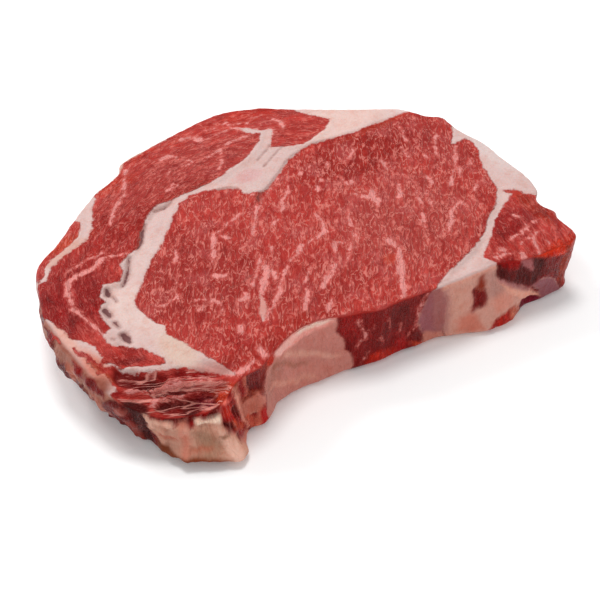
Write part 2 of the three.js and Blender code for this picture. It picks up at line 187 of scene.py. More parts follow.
# Veins of fat: each point is x, y and, where it changes, half width.
VEINS = """
    -0.5,61.5,1.2 3,61; 4,60,1.3 5,57.5 4.5,56,.8; 5,55.8,.4 10,55.8 15,56.3 19,56.5;
    19,57,1.2 21,55 23.5,52.5,1.4 26,49.8 29,47,1.5 31.5,46.5; 31,46.5,2 29,44 26,42 22,40 16,36,1.5;
    27,47.5,.6 24,48.5 20,49.3 14,49.3 10,48.3 7,46.8 0,46,.35; 36.5,52,1 38,49 37,46 35.5,44,.6;
    10,61,.3 14,60.5 20,61; 20,59,.4 24,57; 25,55,.3 30,57.5 34,57; -13,55,.9 -10,55.5 -8,53.5;
    -9,52,.4 -6,50 -4,47.5; -15,47,.5 -13,48 -10,47.5 -6,46.5; -16,46,.4 -17,43;
    -28,57.5,.6 -30,54.5 -32,51.5 -33,49 -35,46,.8 -38,43.5 -40,42; -41,42,1 -43,39.5 -45,37 -48,34,.3;
    -22,38,.5 -19,39 -17,40; -20,37,.4 -16,38.5; 2,38,.5 5,40.5 7,44 8,46;
    -50.5,16.5,.7 -54,18 -57,19.5,.9 -59,19.5 -62,18 -65,16.5,1.2 -69,16.3 -72,16.5 -75,15 -77,12,1
        -78.5,7 -79.3,3 -78.7,-1 -78,-6,.7 -77.3,-11 -77,-15; -57,22,.3 -60,21.5 -64,22.5 -67,21.5 -73,20;
    1,11,.5 3,15 4.5,18; 1.5,10,.4 5,13 9,15.5 13,18 17,20.5; 1,10.5,.4 -2,6.5 -5,3 -10,-2.5 -15,-5.5;
    -6,11.8,.4 -9,10 -12,9.8 -16,8 -19,7.5 -21,6; -20,7.5,1.1 -22,4 -24,1 -26,-2 -28,-5,.5;
    -21,6,.4 -18,5 -16,3,.7; -35.5,8,.5 -37,5 -38.5,3; -40,-2,.3 -42,-4 -45,-8 -48,-10;
    -46,-11.5,.5 -48,-13 -52,-13.5 -55,-12; -31,-11,1.2 -28,-13; -43,-17,.5 -40,-19;
    -44,-22,.7 -40,-21.5 -38,-20.5 -37,-23 -37,-25; -39,-28,.6 -37,-25.5; -30,-26,1.2 -28,-27 -27,-25;
    -14,-17,1.1 -13.5,-22 -14.5,-24.5; -14.5,-20,1.5 -18,-23 -21,-26 -23,-29,.6 -24,-32;
    17,-4,.4 16.5,-8,.7 15.5,-12,.9 14,-14.5,1.1 10,-15.5,.5 5,-15.8 2,-16,1.2 0,-18,.7 -5,-20,.5 -14,-27
        -17,-31,.8 -24,-36,.7 -29,-39,.5; 21,19,.4 19,16 17,13 13,9.5,.5 11.5,9,1 10,6.5 8,4,.8;
    -3,-1.5,.5 -1,0 .5,-.5 3,.5 4,1; -6.5,-10.5,.8 -8,-12.5; -12,-12,.6 -16,-16 -20,-20 -23,-23;
    7.5,-30.5,1.1 5,-32.5 2,-34 -2,-36 -5,-38,.4; .5,-26,.5 -4,-29 -7,-32;
    -8.5,-35,.7 -10,-38,1.2 -13,-41,1 -15,-43,.4; -4.5,-44,.6 -7,-46,.9 -9,-48.5,.4; -37,-49,1.3 -38,-53;
    -53,-53,.8 -50.5,-53.6 -48.4,-54,1.2 -45.4,-53.5 -42,-52.5,.6; -37,-37,1.1 -38,-39;
    10.5,-25,.5 13,-22,.9 14,-21.5,.8 16.5,-23,.4; 24,-20,.5 20,-23 15,-28 12,-32; 22,-24,.4 18,-27;
    28,-9,.6 25,-15; 27,-11,.4 24,-17; 26.5,8,.6 25.5,5; 31,12,.7 30,10; 29,.5,.5 31,2.5;
    36.5,8,.6 37,5 36.5,2.5; 39,3,.8 39,.5; 36,-4,.8 37.5,-7,1.2 39.5,-9,1.3 42,-6,1.2 42.5,-5,.6;
    39.5,-9,1.3 40,-12 39,-14,.6; 52.5,-9,.6 50,-13,1.2 46.5,-16.5,.8; 55.5,-16,.5 53.5,-19 52,-24;
    58,-19,.5 56.5,-22,.7 54.5,-26,.4; 49,-27.5,.9 47,-30.5,1.1 45.5,-33,.6;
    64.5,-29.5,.8 62,-30.5 58.5,-32.5,.9 56,-36,1 51,-40,.6; 64.5,-29,.5 65.5,-32 64.5,-35;
    30.5,-32,1.5 30.5,-37,1 27,-42.5,1.6 25,-45 22,-50,1.4 19.5,-54 17.5,-57,1; 56,7,.9 55,3,1 54.5,0,.4;
    67.5,8,.5 66,4,.8 65.5,0,.5; 60.5,5.5,.6 60.5,4.5; 74.5,19,.5 74,16 72.5,13,.8 71,9,.4;
    83,6,1 81,5 79,2,.5 77,-1 75,-4,.4; 82,-8,.7 78,-11 73,-16 68,-21; 78,-14,.6 74,-18.5;
    85,-3,.5 82,-7 78,-11; 85.5,-12,.4 82,-16; 64,-11,1 63.5,-15; 52,19,.6 50.5,17 48,15.5 44,14;
    38,17,.7 37,16; 26.5,18.5,.8 26,17.5; 32,20,.5 31,19; 71.5,-1,.7 71.5,-3; 78.5,-24,.5 74,-28;
    75,-55,.6 71,-56 66,-56,.2; 75,-55,.5 79,-54 83,-54,.2; 75,-55,.5 74.5,-59,.5;
    74,-60,.8 73,-61.5,.8 72.5,-64,.7 70.5,-68,.6; 73.5,-61,.6 76.5,-58.6,.5 80,-59.5,.2;
    73.5,-60,.6 70,-59 67.5,-60.5,.2; 78,-50,.2 76.5,-53,.4 75,-55,.6; 76.8,-64,.4 77.3,-65.8;
    76.5,-47,.4 77.5,-48.5; 60.5,-58.5,1 61,-58.6; 56,-60,1 61,-61.5,.4 66,-64.6,.7;
    65,-65,1.3 63.5,-68,2 63,-72,2; 58,-59.5,.8 56,-61;
    -84,-40,.9 -82,-41.5 -79,-43.5,.9 -76,-45 -72,-45.5,.8 -68,-47,.7 -64,-49.5,.4 -60,-52,.2 -56,-54,.3;
    -81.5,-50.5,.5 -78,-49,.8 -75,-50 -70,-52,.6 -66,-53.5,.3 -62,-54.6,.2 -57,-55,.3;
    -70,-44.2,.4 -64,-46.3,.2 -60,-50 -57,-52.5; -74,-51.7,.2 -70,-53.5; -66,-57,.3 -62,-58.5 -58,-59
"""

# Cut vessels, and painted shadow lines along the seams where the fat stands over the lean, as the veins
# are.
VESSELS_AND_SEAM_SHADOWS = """
    4,13.5,.6 5,16,.9 6.5,17,.8 10,17.5,.5 15,20.5,.3 20,23.5,.15 25,26.8,.1 30,28.8,.1 36,29.8 40,30.2
        45,29,0 50,28; -31,31,.6 -27,30.5 -24,31.5 -22,32.8,.4 -18,33.5,.1 -13,33.8 -8,33.4 -4,33.2;
    -37.5,26.5,.7 -40,24,1 -42,21 -44,18.5 -46.5,16.5,.7;
    -51,14.5,.7 -53,11.5,.9 -55.5,8 -58,5 -60.3,3,.6; -65.5,4.5,1.2 -66.5,2,1.3; -71,-4,1.4 -71,-7;
    -71.5,-17,1.2 -71.5,-20,1.7 -71.5,-21.5,1.2; -75.5,-17,.5 -75,-17.5; -5,27.8,.3 -1,26.5 1,25 1.3,23.5;
    17,29.5,.3 20,31 24,33 27,34.5 31,35.5; 17,34,.25 20,35.5 24,37.5 26,39
"""
FAINT_DARKS = "-65.5,.5,1.1 -65.5,-2; -71,-10.5,1.2 -71,-13.5; -30,-19,.5 -25,-19.5 -20,-18"
FAINTER = 0.3               # how much less deep the faint ones count

# Tints of the cut face as they look in the light: tint, centre, half widths and strength. The orange-red
# lean tones close to the rim are a painted sheen.
LEAN_TINT = "bf4c44"
LEAN_TONES_AND_RIM_SHEEN = """
    a03530 52,14 34,15 .9;
    b6554d 42,-26 30,26 .8;
    a63f3a -36,-8 26,26 .8;
    aa443e -5,-36 22,13 .7;
    ac4742 80,0 10,18 .7;
    9c3632 -42,34 14,9 .8;
    b25049 -10,44 42,13 .7;
    c4453a 30,60 20,6 .8;
    bd4436 -36,53 10,5 .9;
    c0463a -12,61 16,3 .8;
    962b27 -74,8 14,20 .95;
    921c18 -85,4 6,18 1;
    a0322c -56,24 14,10 .7;
    c4503c -67,34 12,3.5 .9;
    98302b 72,-50 13,9 .9;
    a23c2c 86,-48 4,12 .8;
    c43f2e 81,-69 9,3.5 .95;
    b8402e 90,-58 2,7 .7;
    8e1c20 57,-65 5,3.5 .9;
    a8382e -18,-47 14,5 .5;
    a43028 -42,-40 6,6 .5;
    a1362c -38,-50 14,5 .6;
    ae4434 66,24.5 18,1.6 .7;
    8f2924 -18,-12 3,3 .5;
    962a28 -68,-50 15,8 .75;
    9e3632 -77,-26 9,5 .85;
    cb5a46 25,-39.5 3,3 .7;
"""
FAT_TINT = "dfc1b8"
FAT_TONES = """
    deaeaa 9,28 6,4 .7;
    e4c6ae -60,-34 6,12 .6;
    e3c9bf -48,12 14,12 .5;
    ecd2c6 -62,-10 9,16 .7;
    f2dad2 86,24 14,11 .6;
    dcae9c -70,30 14,5 .8;
    d9a690 -30,62 24,6 .7;
    d98a76 -86.5,-26 4,11 .95;
    a06455 -92,-14 2.8,26 1;
    e8b09c -88,-9 2.2,10 .8;
    94503f -90,-33 3.5,5 .9;
    cf8f84 -64,-50 18,7 .95;
    eecdc0 60,38 28,13 .9;
    e6d2ca 95,-14 6,18 .8;
    c98a80 62,-64 9,6 .9;
    a87a70 63,-71 3,3.5 .9;
    d8837a 74,-59 9,10 .9;
    de9e92 -25,-33 6,9 1;
"""
TONE_FADE = (0.45, 1.3)     # the shares of its half widths that a tone fades between
FINEST = 0.75               # half width of the sharpest change that the mesh's points can carry

# Places of the cut face with an edge of their own, in order, each over those before: tissue, tint,
# softness of the edge, how far the face rises there, and outline.
FACE_PATCHES = """
    lean 7a100e .8 -1.7 -85,-33 -82,-29.5 -78,-33 -75.5,-36.5 -72,-38.5 -69.5,-40.5 -69,-42.5 -72,-44
        -76,-43.5 -80,-41.5 -82.5,-38.5 -84.5,-36;
    lean 861a16 1.2 -.2 -82,-26.2 -79.5,-28.3 -76.5,-30.6 -74,-31.6 -71,-31.2 -70.2,-29.6 -73,-29
        -76,-28.2 -79,-26.4;
    lean 64121e 1.2 -.4 -80,-41.5 -76,-39.8 -73.5,-41 -73.5,-43 -77,-43.5;
    lean 98121a 1.2 0 -73,-39.5 -70.5,-39.8 -69,-41.5 -70.5,-42.8 -73,-42;
    lean 961822 .8 -.6 -67.5,-42 -65.5,-41.2 -63,-42.5 -62.8,-44.5 -65,-45.2 -67,-43.8;
    lean 9c2422 .8 -.5 -62.5,-46 -60,-45.3 -58,-48 -58.6,-50 -61.5,-48.8 -63,-47.5;
    lean 700e0c .8 -1.5 -79.5,-45 -74,-46 -70,-47.5 -66,-50 -64,-52.3 -68,-51.8 -73,-49.6 -78,-47.9;
    lean 6a0c0e .8 -1.5 -80.5,-51 -77,-50.3 -72,-52.6 -67,-55 -62.5,-55.6 -60.5,-58 -62,-61.5 -66,-61.5
        -70.5,-62.3 -74,-60.8 -78,-57.2 -80.8,-54;
    lean 5e080b 1.2 -.4 -80,-51.5 -77,-50.8 -73.5,-53 -75,-54.5 -79,-53.8;
    lean 803020 1.2 .4 -79.5,-55 -76.5,-54.6 -73.5,-56.5 -75,-59 -78,-57;
    lean 5e080c 1 -.4 -75,-58 -72.5,-56.8 -70,-58.5 -71.5,-61 -74,-60.5;
    lean 84303c 1.2 .2 -69,-57 -65.5,-56 -62.8,-57.5 -63.8,-60.3 -67.5,-60.5;
    lean b84534 .8 .3 -61,-55.7 -57,-55 -53,-57 -56,-67 -63,-68 -62,-60;
    lean 761010 1 -.5 -67.5,-63.3 -64,-62.3 -61,-63 -62,-64.8 -66,-65;
    lean 5a2028 1 -.6 -88,-43 -85.5,-43.5 -83,-46 -82,-50 -83.5,-52.5 -84.5,-57 -90,-57 -91,-46;
    lean 8e2a22 1 -.4 -88.5,-37 -86.5,-37.3 -85.5,-39.5 -87,-41 -89,-39.5;
    lean b04c48 1 0 -88.5,-13.5 -86.5,-14 -85.6,-18 -86.2,-23 -88,-23 -88.4,-18;
    lean b0503e 1.2 .9 -88,-22 -86.3,-22.5 -85.6,-25.5 -86.3,-28 -88.3,-27.5 -89,-24.5;
    lean b0503e 1 .8 -86.6,-29 -84.6,-30 -84.4,-33 -86,-34.5 -87.8,-33 -87.8,-30.5;
"""

# Fibres run in different ways in different muscles: outline, their turn from +X in degrees, and
# how streaked the lean is. The eye's outline goes through the fat round it.
EYE_OUTLINE = """96,25.5 82,25.6 60,27 40,30.5 30,30 20,27 8,29 -4,30 -16,31.8 -27,30 -35,24 -45,13
    -55,4 -64,-3 -67,-14 -66,-28 -60,-38 -55,-51 -52,-60 30,-66 60,-51.5 79,-37.5 89,-22 93,-4"""
TAIL_OUTLINE = "-98,-40 -86,-38 -83,-30 -76,-33 -66,-39 -58,-45 -52,-54 -52,-72 -98,-72"
END_OUTLINE = "56,-53 66,-46.5 80,-38 90,-38 96,-50 92,-76 50,-76 50,-60"
MUSCLE_FIBRES = ((EYE_OUTLINE, 55, 1.0), (TAIL_OUTLINE, -32, 0.25), (END_OUTLINE, 75, 0.45))
CAP_CENTRE = (0, -20)       # elsewhere, in the cap and the left band, they run round this point,
CAP_ARC = 72                # this far for each radian,
CAP_STREAKS = 0.62          # and the lean is this streaked
BAND_FROM = (52, 62)        # the left band fades in between these distances left of the point,
BAND_TOP = (30, 52)         # and out between these distances from it towards +Y,
BAND_CALMER = 0.5           # and is this much less streaked

# ---- What shows on the side, mm ----
# Lengths along the side count from the first point of tail_slab, rightwards; heights from the floor.

COUNT_FROM = -100           # lengths are counted from here right round to here again,
DRAWN_FROM = (-80, -74)     # the side is drawn by the outlines below from here,
DRAWN_TO = (158, 164)       # and to here

SIDE_LEAN_TINT = "7c2420"
SIDE_FAT_TINT = "b88474"
SIDE_STREAKS = 0.08         # how streaked its lean is
SIDE_TORN = 0.35            # how torn the side looks,
SLAB_TORN = 0.2             # and how much more so about the slab
SIDE_VEIN_THINNER = 0.25    # how much less deep the veins on it count

# Patches as in FACE_PATCHES, by lengths and heights; the rise is how far the side stands out.
# the membrane of the rib side; the pale pink bands along its top edge are a painted highlight
SIDE_PATCHES = """
    # the left end, seen at a low angle
    fat a37263 .8 .3 -86,-3 -86,27 -16.5,27 -15.5,12 -14,-3;
    lean 7c3029 1 -.3 -86,8 -79,5 -75,9 -68,7 -64,12 -59,9 -55,12 -49,8 -45,11 -40,7 -36,12 -31,10 -28,14
        -22,13 -14,12 -14,-3 -86,-3;
    lean 7a342c 1 .1 -84,14 -84,20 -77,19 -72,26 -68,26 -74,17 -79,14;
    lean 9c3626 .8 .2 -62,27 -58.5,25.5 -62,20 -66,15 -71,10 -78,7 -78,10 -72,13.5 -67,18;
    lean 74302a 1.2 -.3 -68,12 -62,13 -58,19 -55,20 -52,15 -55,11.5 -62,9;
    lean 6c1a16 .8 .8 -60,15 -57,19 -54,18.5 -50,21.5 -47,19 -48,16.5 -44.5,15.8 -41,17.5 -38.5,16 -38,12
        -41,9 -46,11 -50,9 -56,11.5;
    fat a65f52 1 .6 -70,6.5 -66,8 -62,6 -60,3 -64,1 -69,3;
    fat 9c5a50 1 .5 -54,7 -50,6 -47,3 -49,0 -54,2;
    lean 8a3c32 1 -.4 -36,17 -34,15 -35,9 -37,3 -38.5,-3 -45,-3 -41.5,4 -38.5,11;
    fat b3705f 1 .4 -50,22 -45,22.5 -44,19.5 -46.5,16 -49,12 -51,13 -49,17;
    lean 7c2a22 .9 -.3 -40,24 -36,25 -33,23 -31,23.5 -30,21 -33.8,20 -36,18.5 -39,20;
    lean 8c3628 .9 .5 -48,24.5 -42,25 -40.5,22 -42,20.5 -45.5,21.5;
    lean 7a241c .9 .4 -69,23.5 -66,24 -63,25.5 -60,24.5 -58,21 -61.5,19.5 -66,20.5;
    lean 86332a .9 .4 -79,23 -77,24 -73,24.5 -72,20 -74.5,18 -78,20;
    fat aa6c5c 1 .5 -37,19 -33,19.5 -31,16 -33,11 -36.5,9 -35.5,14;
    lean 721d18 .8 -.5 -32,15 -31,19 -28,21.5 -24,21 -20.5,20 -19,14 -22,9 -27,10 -30,12;
    lean 541820 .8 -.7 -23,21.5 -16.5,20.5 -15.3,14 -14.2,9 -13.5,4 -16,-1 -19,7 -20.5,14;
    fat 8a4842 1 .3 -25,12 -22,13.5 -19.5,10 -17,3 -17.5,0 -21,3 -24,8;
    fat 9a5850 .8 .3 -27,17.5 -24.5,19 -21.5,18 -23,16.3 -26,15.8;
    # the torn fibres above and beside the slab
    lean 8c2a22 .8 -.2 -13,15 -13,30 17,30 19.5,20 20,8 24,-3 8,-3 8,12;
    lean 660a0c .8 -1 -9,15.3 -5,14.6 -1,14 1.5,15.6 1,21 -4,20.5 -8,18;
    lean 660c0e .8 -1 5,15.5 9.5,16 9.5,19.5 6.5,19;
    lean 9e3a30 .8 .1 9.5,15.5 14,15 15,18.5 10.5,19;
    lean cf6c60 .6 .6 9,19.8 12,19.3 15.5,19.8 17,21.5 13,21.3 9.5,21;
    lean 6a0e0e .8 -.9 14.5,17 18,16.5 18.5,12.5 15,13;
    lean b0503f .8 .6 11,13.5 14,13 18,9.5 21.5,6.5 26,3.5 25.5,2 21,4 16,7.5 12.5,10.5;
    lean 5a0806 .5 -1.3 9.6,14 12.8,13.4 13,11 11,9.7;
    fat b77768 .8 0 13.5,6.5 18,4.5 22,2 24,-3 13,-3;
    lean 6e3226 .6 -.5 12.2,9.5 13.5,8.5 14.2,6 13,5.2;
    # the slab
    fat b68976 .5 .7 -16,18.7 -14,17.6 -13,16 -11.5,16.2 -9.5,14.8 -7.5,15.3 -6,14.2 -4,14.5 -3,13.6
        -1.5,14 -.5,12.8 .8,13 1,15 2.5,15.6 4,14.8 5.5,15.4 7.5,15.2 9.4,16.4 9.7,12.5 11,10.3 12.5,9
        12.8,7.2 14,5.8 17,2.5 18,-3 -9.5,-3 -10,3 -11.5,7 -13.5,10.5 -15,14;
    fat e0a893 .6 .6 -16,18.8 -14,17.8 -12.5,15.9 -12,12.5 -13.4,12 -14.3,14 -15.3,16.5;
    fat f0b8a2 .5 .9 1,15 2.5,15.7 4,15 5.5,15.6 9.4,16.6 9.2,14.6 5,14 1.8,13.8;
    fat e0a893 .5 .7 -12.5,16 -9.5,15 -7.5,15.3 -6,14.4 -6.2,13.6 -10,13.9 -12.4,14.6;
    fat c0907c 1.2 .5 -12.5,14 -9,14 -8.5,9 -9.5,3 -8,-3 -11,-3 -11,6;
    fat ad8270 .8 -.5 -8.6,13 -7.6,13 -7,8 -7.5,4 -8.6,6;
    fat b87866 1.4 .3 -4.5,15 -2.5,15 -1.6,12 -.8,9 -1.2,6 -2,3 -3,-3 -5,-3 -4,2 -3.2,6 -4.2,10;
    fat c08a78 .8 .3 -3.8,13.5 -1.5,13.4 -1.2,11.6 -3.4,11.4;
    fat 977562 2.2 -.4 1,12 5,12.5 8,9 8,6 5,4 2,5;
    fat b0705f .8 -.4 -11.5,11 -9.5,10.5 -5.5,10 -5.3,9 -9,8.9 -11.3,9.8;
    fat a46a58 .8 -.4 -1,7.2 2,7.6 5.5,7 5.4,6.2 2,6.4 -1,6.2;
    lean 8e3d30 .8 .2 -8,3.2 -5,3.6 -2,2.6 1,2.8 4,1.8 7,1.9 7,-3 -9,-3;
    fat caa18e 1.4 .5 7.5,13 10,10.5 12,8 12.5,4 11,1 8.5,3 9,8;
    fat 8f6a58 .6 -.5 7.6,10.6 9.4,11.2 10.6,9.8 9,9.4;
    fat 7a4a3c 1 -.2 -12,6 -8,6.2 -4,4.9 1,5.6 6,4.4 9,4.2 10,-3 -12,-3;
    lean 6a3a34 .5 -.3 3,1.9 5,2 5.5,.6 3.6,.5;
    # the flap between the slab and the membrane
    lean 8f4a3c .8 0 17,30 38,30 35,18 31,15 29,10 24,8 20,9 19.5,16 17.5,24;
    fat a9685a .7 .2 17.6,24 19.3,24.5 20.5,19 22,13.5 27,14.5 29.3,12 29.5,7.5 26,7 22,7.5 20,10 19.4,16;
    lean 8d2a26 .6 -.2 19.5,27 22,27 22.3,22 23,17.3 21.5,16.5 20.3,20;
    fat ae675a .4 .5 22,27 23.3,27 23.6,21 24,17 23,16.5 22.6,21;
    lean 6f2320 .7 -.9 23.5,27 31,27 31,22.5 30.5,16.5 27.5,15.5 25,17.5 24,20.5;
    lean 88403a 1.2 -.5 30,27 34,27 33,20 31,16 29.5,19;
    fat b87668 .6 .3 27,15.5 28.5,15 30,12 30.4,8 29.3,8 28.3,12;
    lean b25c4c .8 0 20.5,8 23,7.5 25.5,5 26.5,1.5 24.5,1.2 22,3.5;
    fat cc8a78 .5 .8 16.4,24.5 17.4,24.8 18.8,21 19.6,16 20.4,11 21.2,7 22.2,3.5 21.2,3.2 20,7 19.2,11
        18.4,16 17.4,20.5;
    # the membrane of the rib side
    fat b1786d 1 .1 30.5,16.5 33.5,21 37.5,26.5 66,27.5 65.3,20 67,17 68,14 68.5,10 70.5,8 70.8,4 70,-3
        30,-3 30.5,8;
    fat a57266 2.5 -.2 31,14 34,20 41,22 42,14 38,9 32,8;
    fat 8f5e50 1.5 -.3 36.5,19 38.5,20 39.8,18 38,16.5;
    fat b3786c 2.5 .1 42,10 55,9 66,6 68,1 46,1 42,4;
    fat ae756a 2 0 47,16 58,15 63,11 52,10;
    fat bf8c7c 1 .3 42,20 44,20.8 52,15.5 60,11 67,8.5 67,7.3 59,9.5 50,14;
    fat bd8575 1 .3 34,12 36,13.5 41,9.5 47,6.5 55,4.6 55,3.4 46,4.8 39,7.5;
    fat 9c6a5c 1 -.3 40,17.5 42,18 48,12.5 54,9.5 53.5,8.6 46,11.5;
    fat d19084 1.3 .3 38.5,23 44,21.5 52,21.5 60,23 66,25 66,27 38,27;
    fat f6a094 .8 .3 37.5,24.3 42,23 46,23.2 51,24.3 51,28 37,28;
    fat efb6a6 .8 .3 50,24.2 56,24 62,25 66,25.8 66,28 50,28;
    lean ae3f33 .9 .2 33.3,27 37.3,27 37.6,24.5 36.5,22.5 34.5,21.8 33.2,24;
    lean a82e24 .5 .8 27.5,7.5 29,8.3 29.8,6.5 29.8,3 28,1 26.3,2 26.3,4;
    fat c0705c .5 .4 25.3,3.5 26.3,5 27.5,7.8 26.8,5 26.8,2.5 28.5,.8 25.5,1;
    # the dark lean
    lean 7a2420 .7 .1 65.3,30 65.3,20 67,17 68,14 68.5,10 70.5,8 70.8,5 70,-3 100,-3 99,4 97,8.5 95.3,11
        95,14 95.4,20 95.2,30;
    lean 8a1e1a 1.2 .2 66.5,24 67,18.5 69.5,12 72,13 73.5,17 72.5,22 76,27 67,27;
    lean 6c1816 2 .1 83,24 94,24 94,14 90,12 84,17;
    lean 74282a 1.5 -.2 78,14 84,15 88,9 84,6 78,8;
    lean a63c2e 1.4 .3 75,1 77,5 81,6.5 85,5.5 89,3 88,-3 75,-3;
    lean 96302a 1.2 0 88,8 91,8 92,3 90,-3 86,-3;
    lean 69201a .8 .8 93.2,9.6 96,10 98,7 99.3,3.5 97,3 94,5;
    lean a4483c .6 .5 92.5,5 95,4.2 98,3 99,.5 95,1.5;
    # the oval and the heel of fat
    fat 875759 .7 .6 97,9.5 96.3,13 96.5,18 97.8,21.5 99.8,24.5 102,26.2 105.5,26.5 107,22 107.5,14 107,7
        105.5,3 102,4 99,6.5;
    fat 8f5e5a 1.5 .2 101,27 106,27 107,15 106.5,5 103,5 102,14;
    fat ae7264 1 .3 99.5,7.5 103,5.5 106,5 107,-3 99.5,-3 98.8,4;
    fat b98a7b 1.4 .5 105.5,27.5 107.3,21 107.8,12 107,4 108,-3 139.5,-3 139,4 139.5,7.5 143,5.2 147,3.3
        148.8,3.6 146,6.5 143,9.5 140,12.6 136,15.8 132,18 129.5,20 128,22 128.6,25 130,27.5;
    fat 9e6f68 1.4 -.2 106.3,24 108,24 108.8,15 108.3,4 107,4 107.3,14;
    fat b88878 1.2 .3 109.5,23 114,22.5 114.5,16 112.5,8 113,2 109.8,2 109.5,12;
    fat b47262 1.6 .1 112.5,10 117,11 120,8 121,3 116,1.5 112,3;
    fat a87f74 1.8 -.2 123.5,25 128,24 129,20 132,17 128,14 124,15;
    fat bd8272 1.6 .2 125,12 131,15.5 136,12 133,9 127,8;
    lean 7a2a28 1.4 -.5 117.3,20 119.3,20.5 121,19 123,18.4 123.8,15.5 123,12.5 120,11.5 117.5,11 117.2,13
        118.3,15;
    fat 7e4038 1.4 -.4 119,19.5 120.5,24 122.8,24.5 123.3,21 122.3,17.5;
    fat c48c7a 1.3 .2 106,27.5 106,25.2 116,25.4 129,25.2 130,27.5;
    lean a03a2a .8 .3 122.5,2 126,5 129,6.5 132,7.5 135.5,7.3 137.5,5 136,2.5 131,2 127,.8 124,-.5;
    lean b06350 1 .2 133,7 136,7.6 138.5,5.5 139,1 136,.5 134,3;
    # the end muscle and what hangs below it
    lean 5c2027 .7 .2 128.5,25 128,22 129.5,20 133,18 137,15.6 140,14 143,11.5 146,13 147,17 145,22 142,26
        141,30 128,30;
    lean 6c181e .9 .2 142,30 144.5,22 147,15 152,13.5 155.5,10 158.5,5 161,3 163,10 162,30;
    lean 8c2022 1.2 .5 130.5,27.5 131,24.5 133,22.8 137,22.5 138.5,24.5 138,27.5;
    fat 95605f .7 .4 138.3,27.5 138.5,24.5 140.5,21 142.5,19.2 143.5,20 142.8,23 142.3,27.5;
    lean 54141c 1.2 -.5 143.5,27 147,27 148.5,20 147,15 144.5,18;
    lean 741010 1.2 .2 149,24 156,24 157.5,14 154,14 151,17;
    lean cc4632 1.4 .3 143,28 144.5,24.5 150,23 155,21.5 159,21 161,22 162,28;
    lean 8c4030 .9 0 157.5,25 160,24.5 162,12 160,3 158,5 156.8,12;
    fat 84575a .9 .4 143.3,11.8 147,13.5 150.5,13 153.5,10.5 156.5,7 159,3 160,-3 150,-3 149,3 148,6
        145.5,9;
    lean 7a3640 .6 -.9 139.3,2.5 139.8,6.8 141.8,7.5 144,5 147,3.3 149.3,2 149.5,-3 141,-3;
    fat c8917e .5 .7 128.5,20.3 131.5,18.7 135.5,16.2 139.5,13 142.7,10 145.6,7 148.5,3.8 147,3.4 143,5.4
        140,7.4 137,10.5 134,13.5 131,16.5;
    fat 9c6a68 .4 .2 128.5,20.6 131.5,19.2 135.5,16.9 139.5,13.8 142.7,10.8 141.8,10.6 138.7,13 134.7,16
        131,18.3 128.7,19.8;
"""

# Veins on the side: points as above, along the side and up.
SIDE_VEINS = """
    72.8,23,.5 74.3,19.5,.5 75.6,16.5,.7 74.8,13.2,.6 72.8,10.3,.5 71,7.5,.5;
    76.8,7.5,.4 75.5,4.6 73.8,3.2,.4; 77.9,19.6,.5 78,18; 81,13,.3 81.8,10.5; 93,10.2,.5 95.8,11,.5;
    101,26.3,.5 98.3,23.8,.7 96.5,20.5,.8 95.8,16,.8 96,11.5,.7; 92.6,9.5,.3 92.3,8; 84.5,20,.15 85,15;
    88.9,16,.2 89,12; 46,18,.3 50,13,.2 54,10; 52,22,.2 58,16 62,13
"""

# Behind, the cut face's pattern goes on down the side.
HIDDEN_INSET = 0.975        # it is read this much nearer the middle,
HIDDEN_DRIFT = 0.22         # and wanders this much more for each mm down
HIDDEN_STREAKS, HIDDEN_TORN = 0.5, 0.4

# ---- Unevenness, mm ----
# Edges wander: how far, over what spacing, and seed.

RIM_EDGES = ((1.7, 5, 40), (0.8, 1.5, 42))      # fat of the cut face near the left rim,
RIM_FROM = (68, 80)                             # which is between these distances to the left
PATCH_EDGES = (0.7, 2.5, 20)
SIDE_EDGES = ((0.8, 4, 1), (0.4, 1.3, 30))
HIDDEN_EDGES = (1, 13, 3)
FOOT_EDGES = (2.5, 25, 10)
FOOT_PATTERN = 1.02     # the face that it lies on reads the pattern this much further out

# Bumps: height, spacings and seed.
LEAN_GRAIN = (0.2, (3.4, 3.4), 6)
FIBRE_GRAIN = (0.2, (3.5, 1.4), 5)      # spacings along and across the fibres
FAT_SWELL = (0.25, (7, 7), 7)
TORN_CRAGS = (0.3, (3, 3), 13)
FIBRE_CRAGS = (0.6, (12, 2.6), 12)
SIDE_CRAGS = ((0.35, (1.8, 9), 8), (0.4, (6, 8), 9), (0.22, (2.5, 2.5), 14))
EDGE_BUMPS = ((0.35, (5, 30), 15), (0.2, (2.2, 30), 16))
FOOT_BUMPS = (1.1, (8, 1), 17)
LEFT_CRAGGIER = 1.3     # how much rougher the left end is than the rest of the side,
SLAB_CRAGGIER = 0.9     # and the slab
SEED_STEP = 17.31       # how far apart in the noise two seeds read it

FAT_LIP = 0.3           # how high the fat stands along the seams,
VEIN_RISE = 0.1         # the veins,
TORN_VEIN_RISE = 0.3    # and how much higher where the lean is torn
DARK_SINK = 0.3         # how deep the dark lines lie

# ---- Light, as it shapes the tints ----

# What a white surface gives back of the light in red, green and blue, 1 being pure white, and what
# the meat's gloss adds.
FAT_LIGHT = ((1.25, 1.26, 1.2), 0.02)       # fat on the cut face,
LEAN_LIGHT = ((1.12, 1.17, 1.09), 0.025)    # lean on the cut face,
SIDE_LIGHT = ((0.7, 0.7, 0.66), 0.035)      # and the side
LEFT_BRIGHTER = 0.35    # how much more light the left end gets than the rest of the side
DARKEST, PALEST = 0.003, 0.9                # the least and most that any surface gives back

# ---- Reading the tables ----


def entries(text):
    """The entries of a table, each up to its semicolon, without the notes that follow a #."""
    bare = " ".join(line.partition("#")[0] for line in text.splitlines())
    return [entry for entry in bare.split(";") if entry.strip()]


def points(text):
    """The rows of numbers that text holds, as an array."""
    return np.array([[float(number) for number in row.split(",")] for row in text.split()])


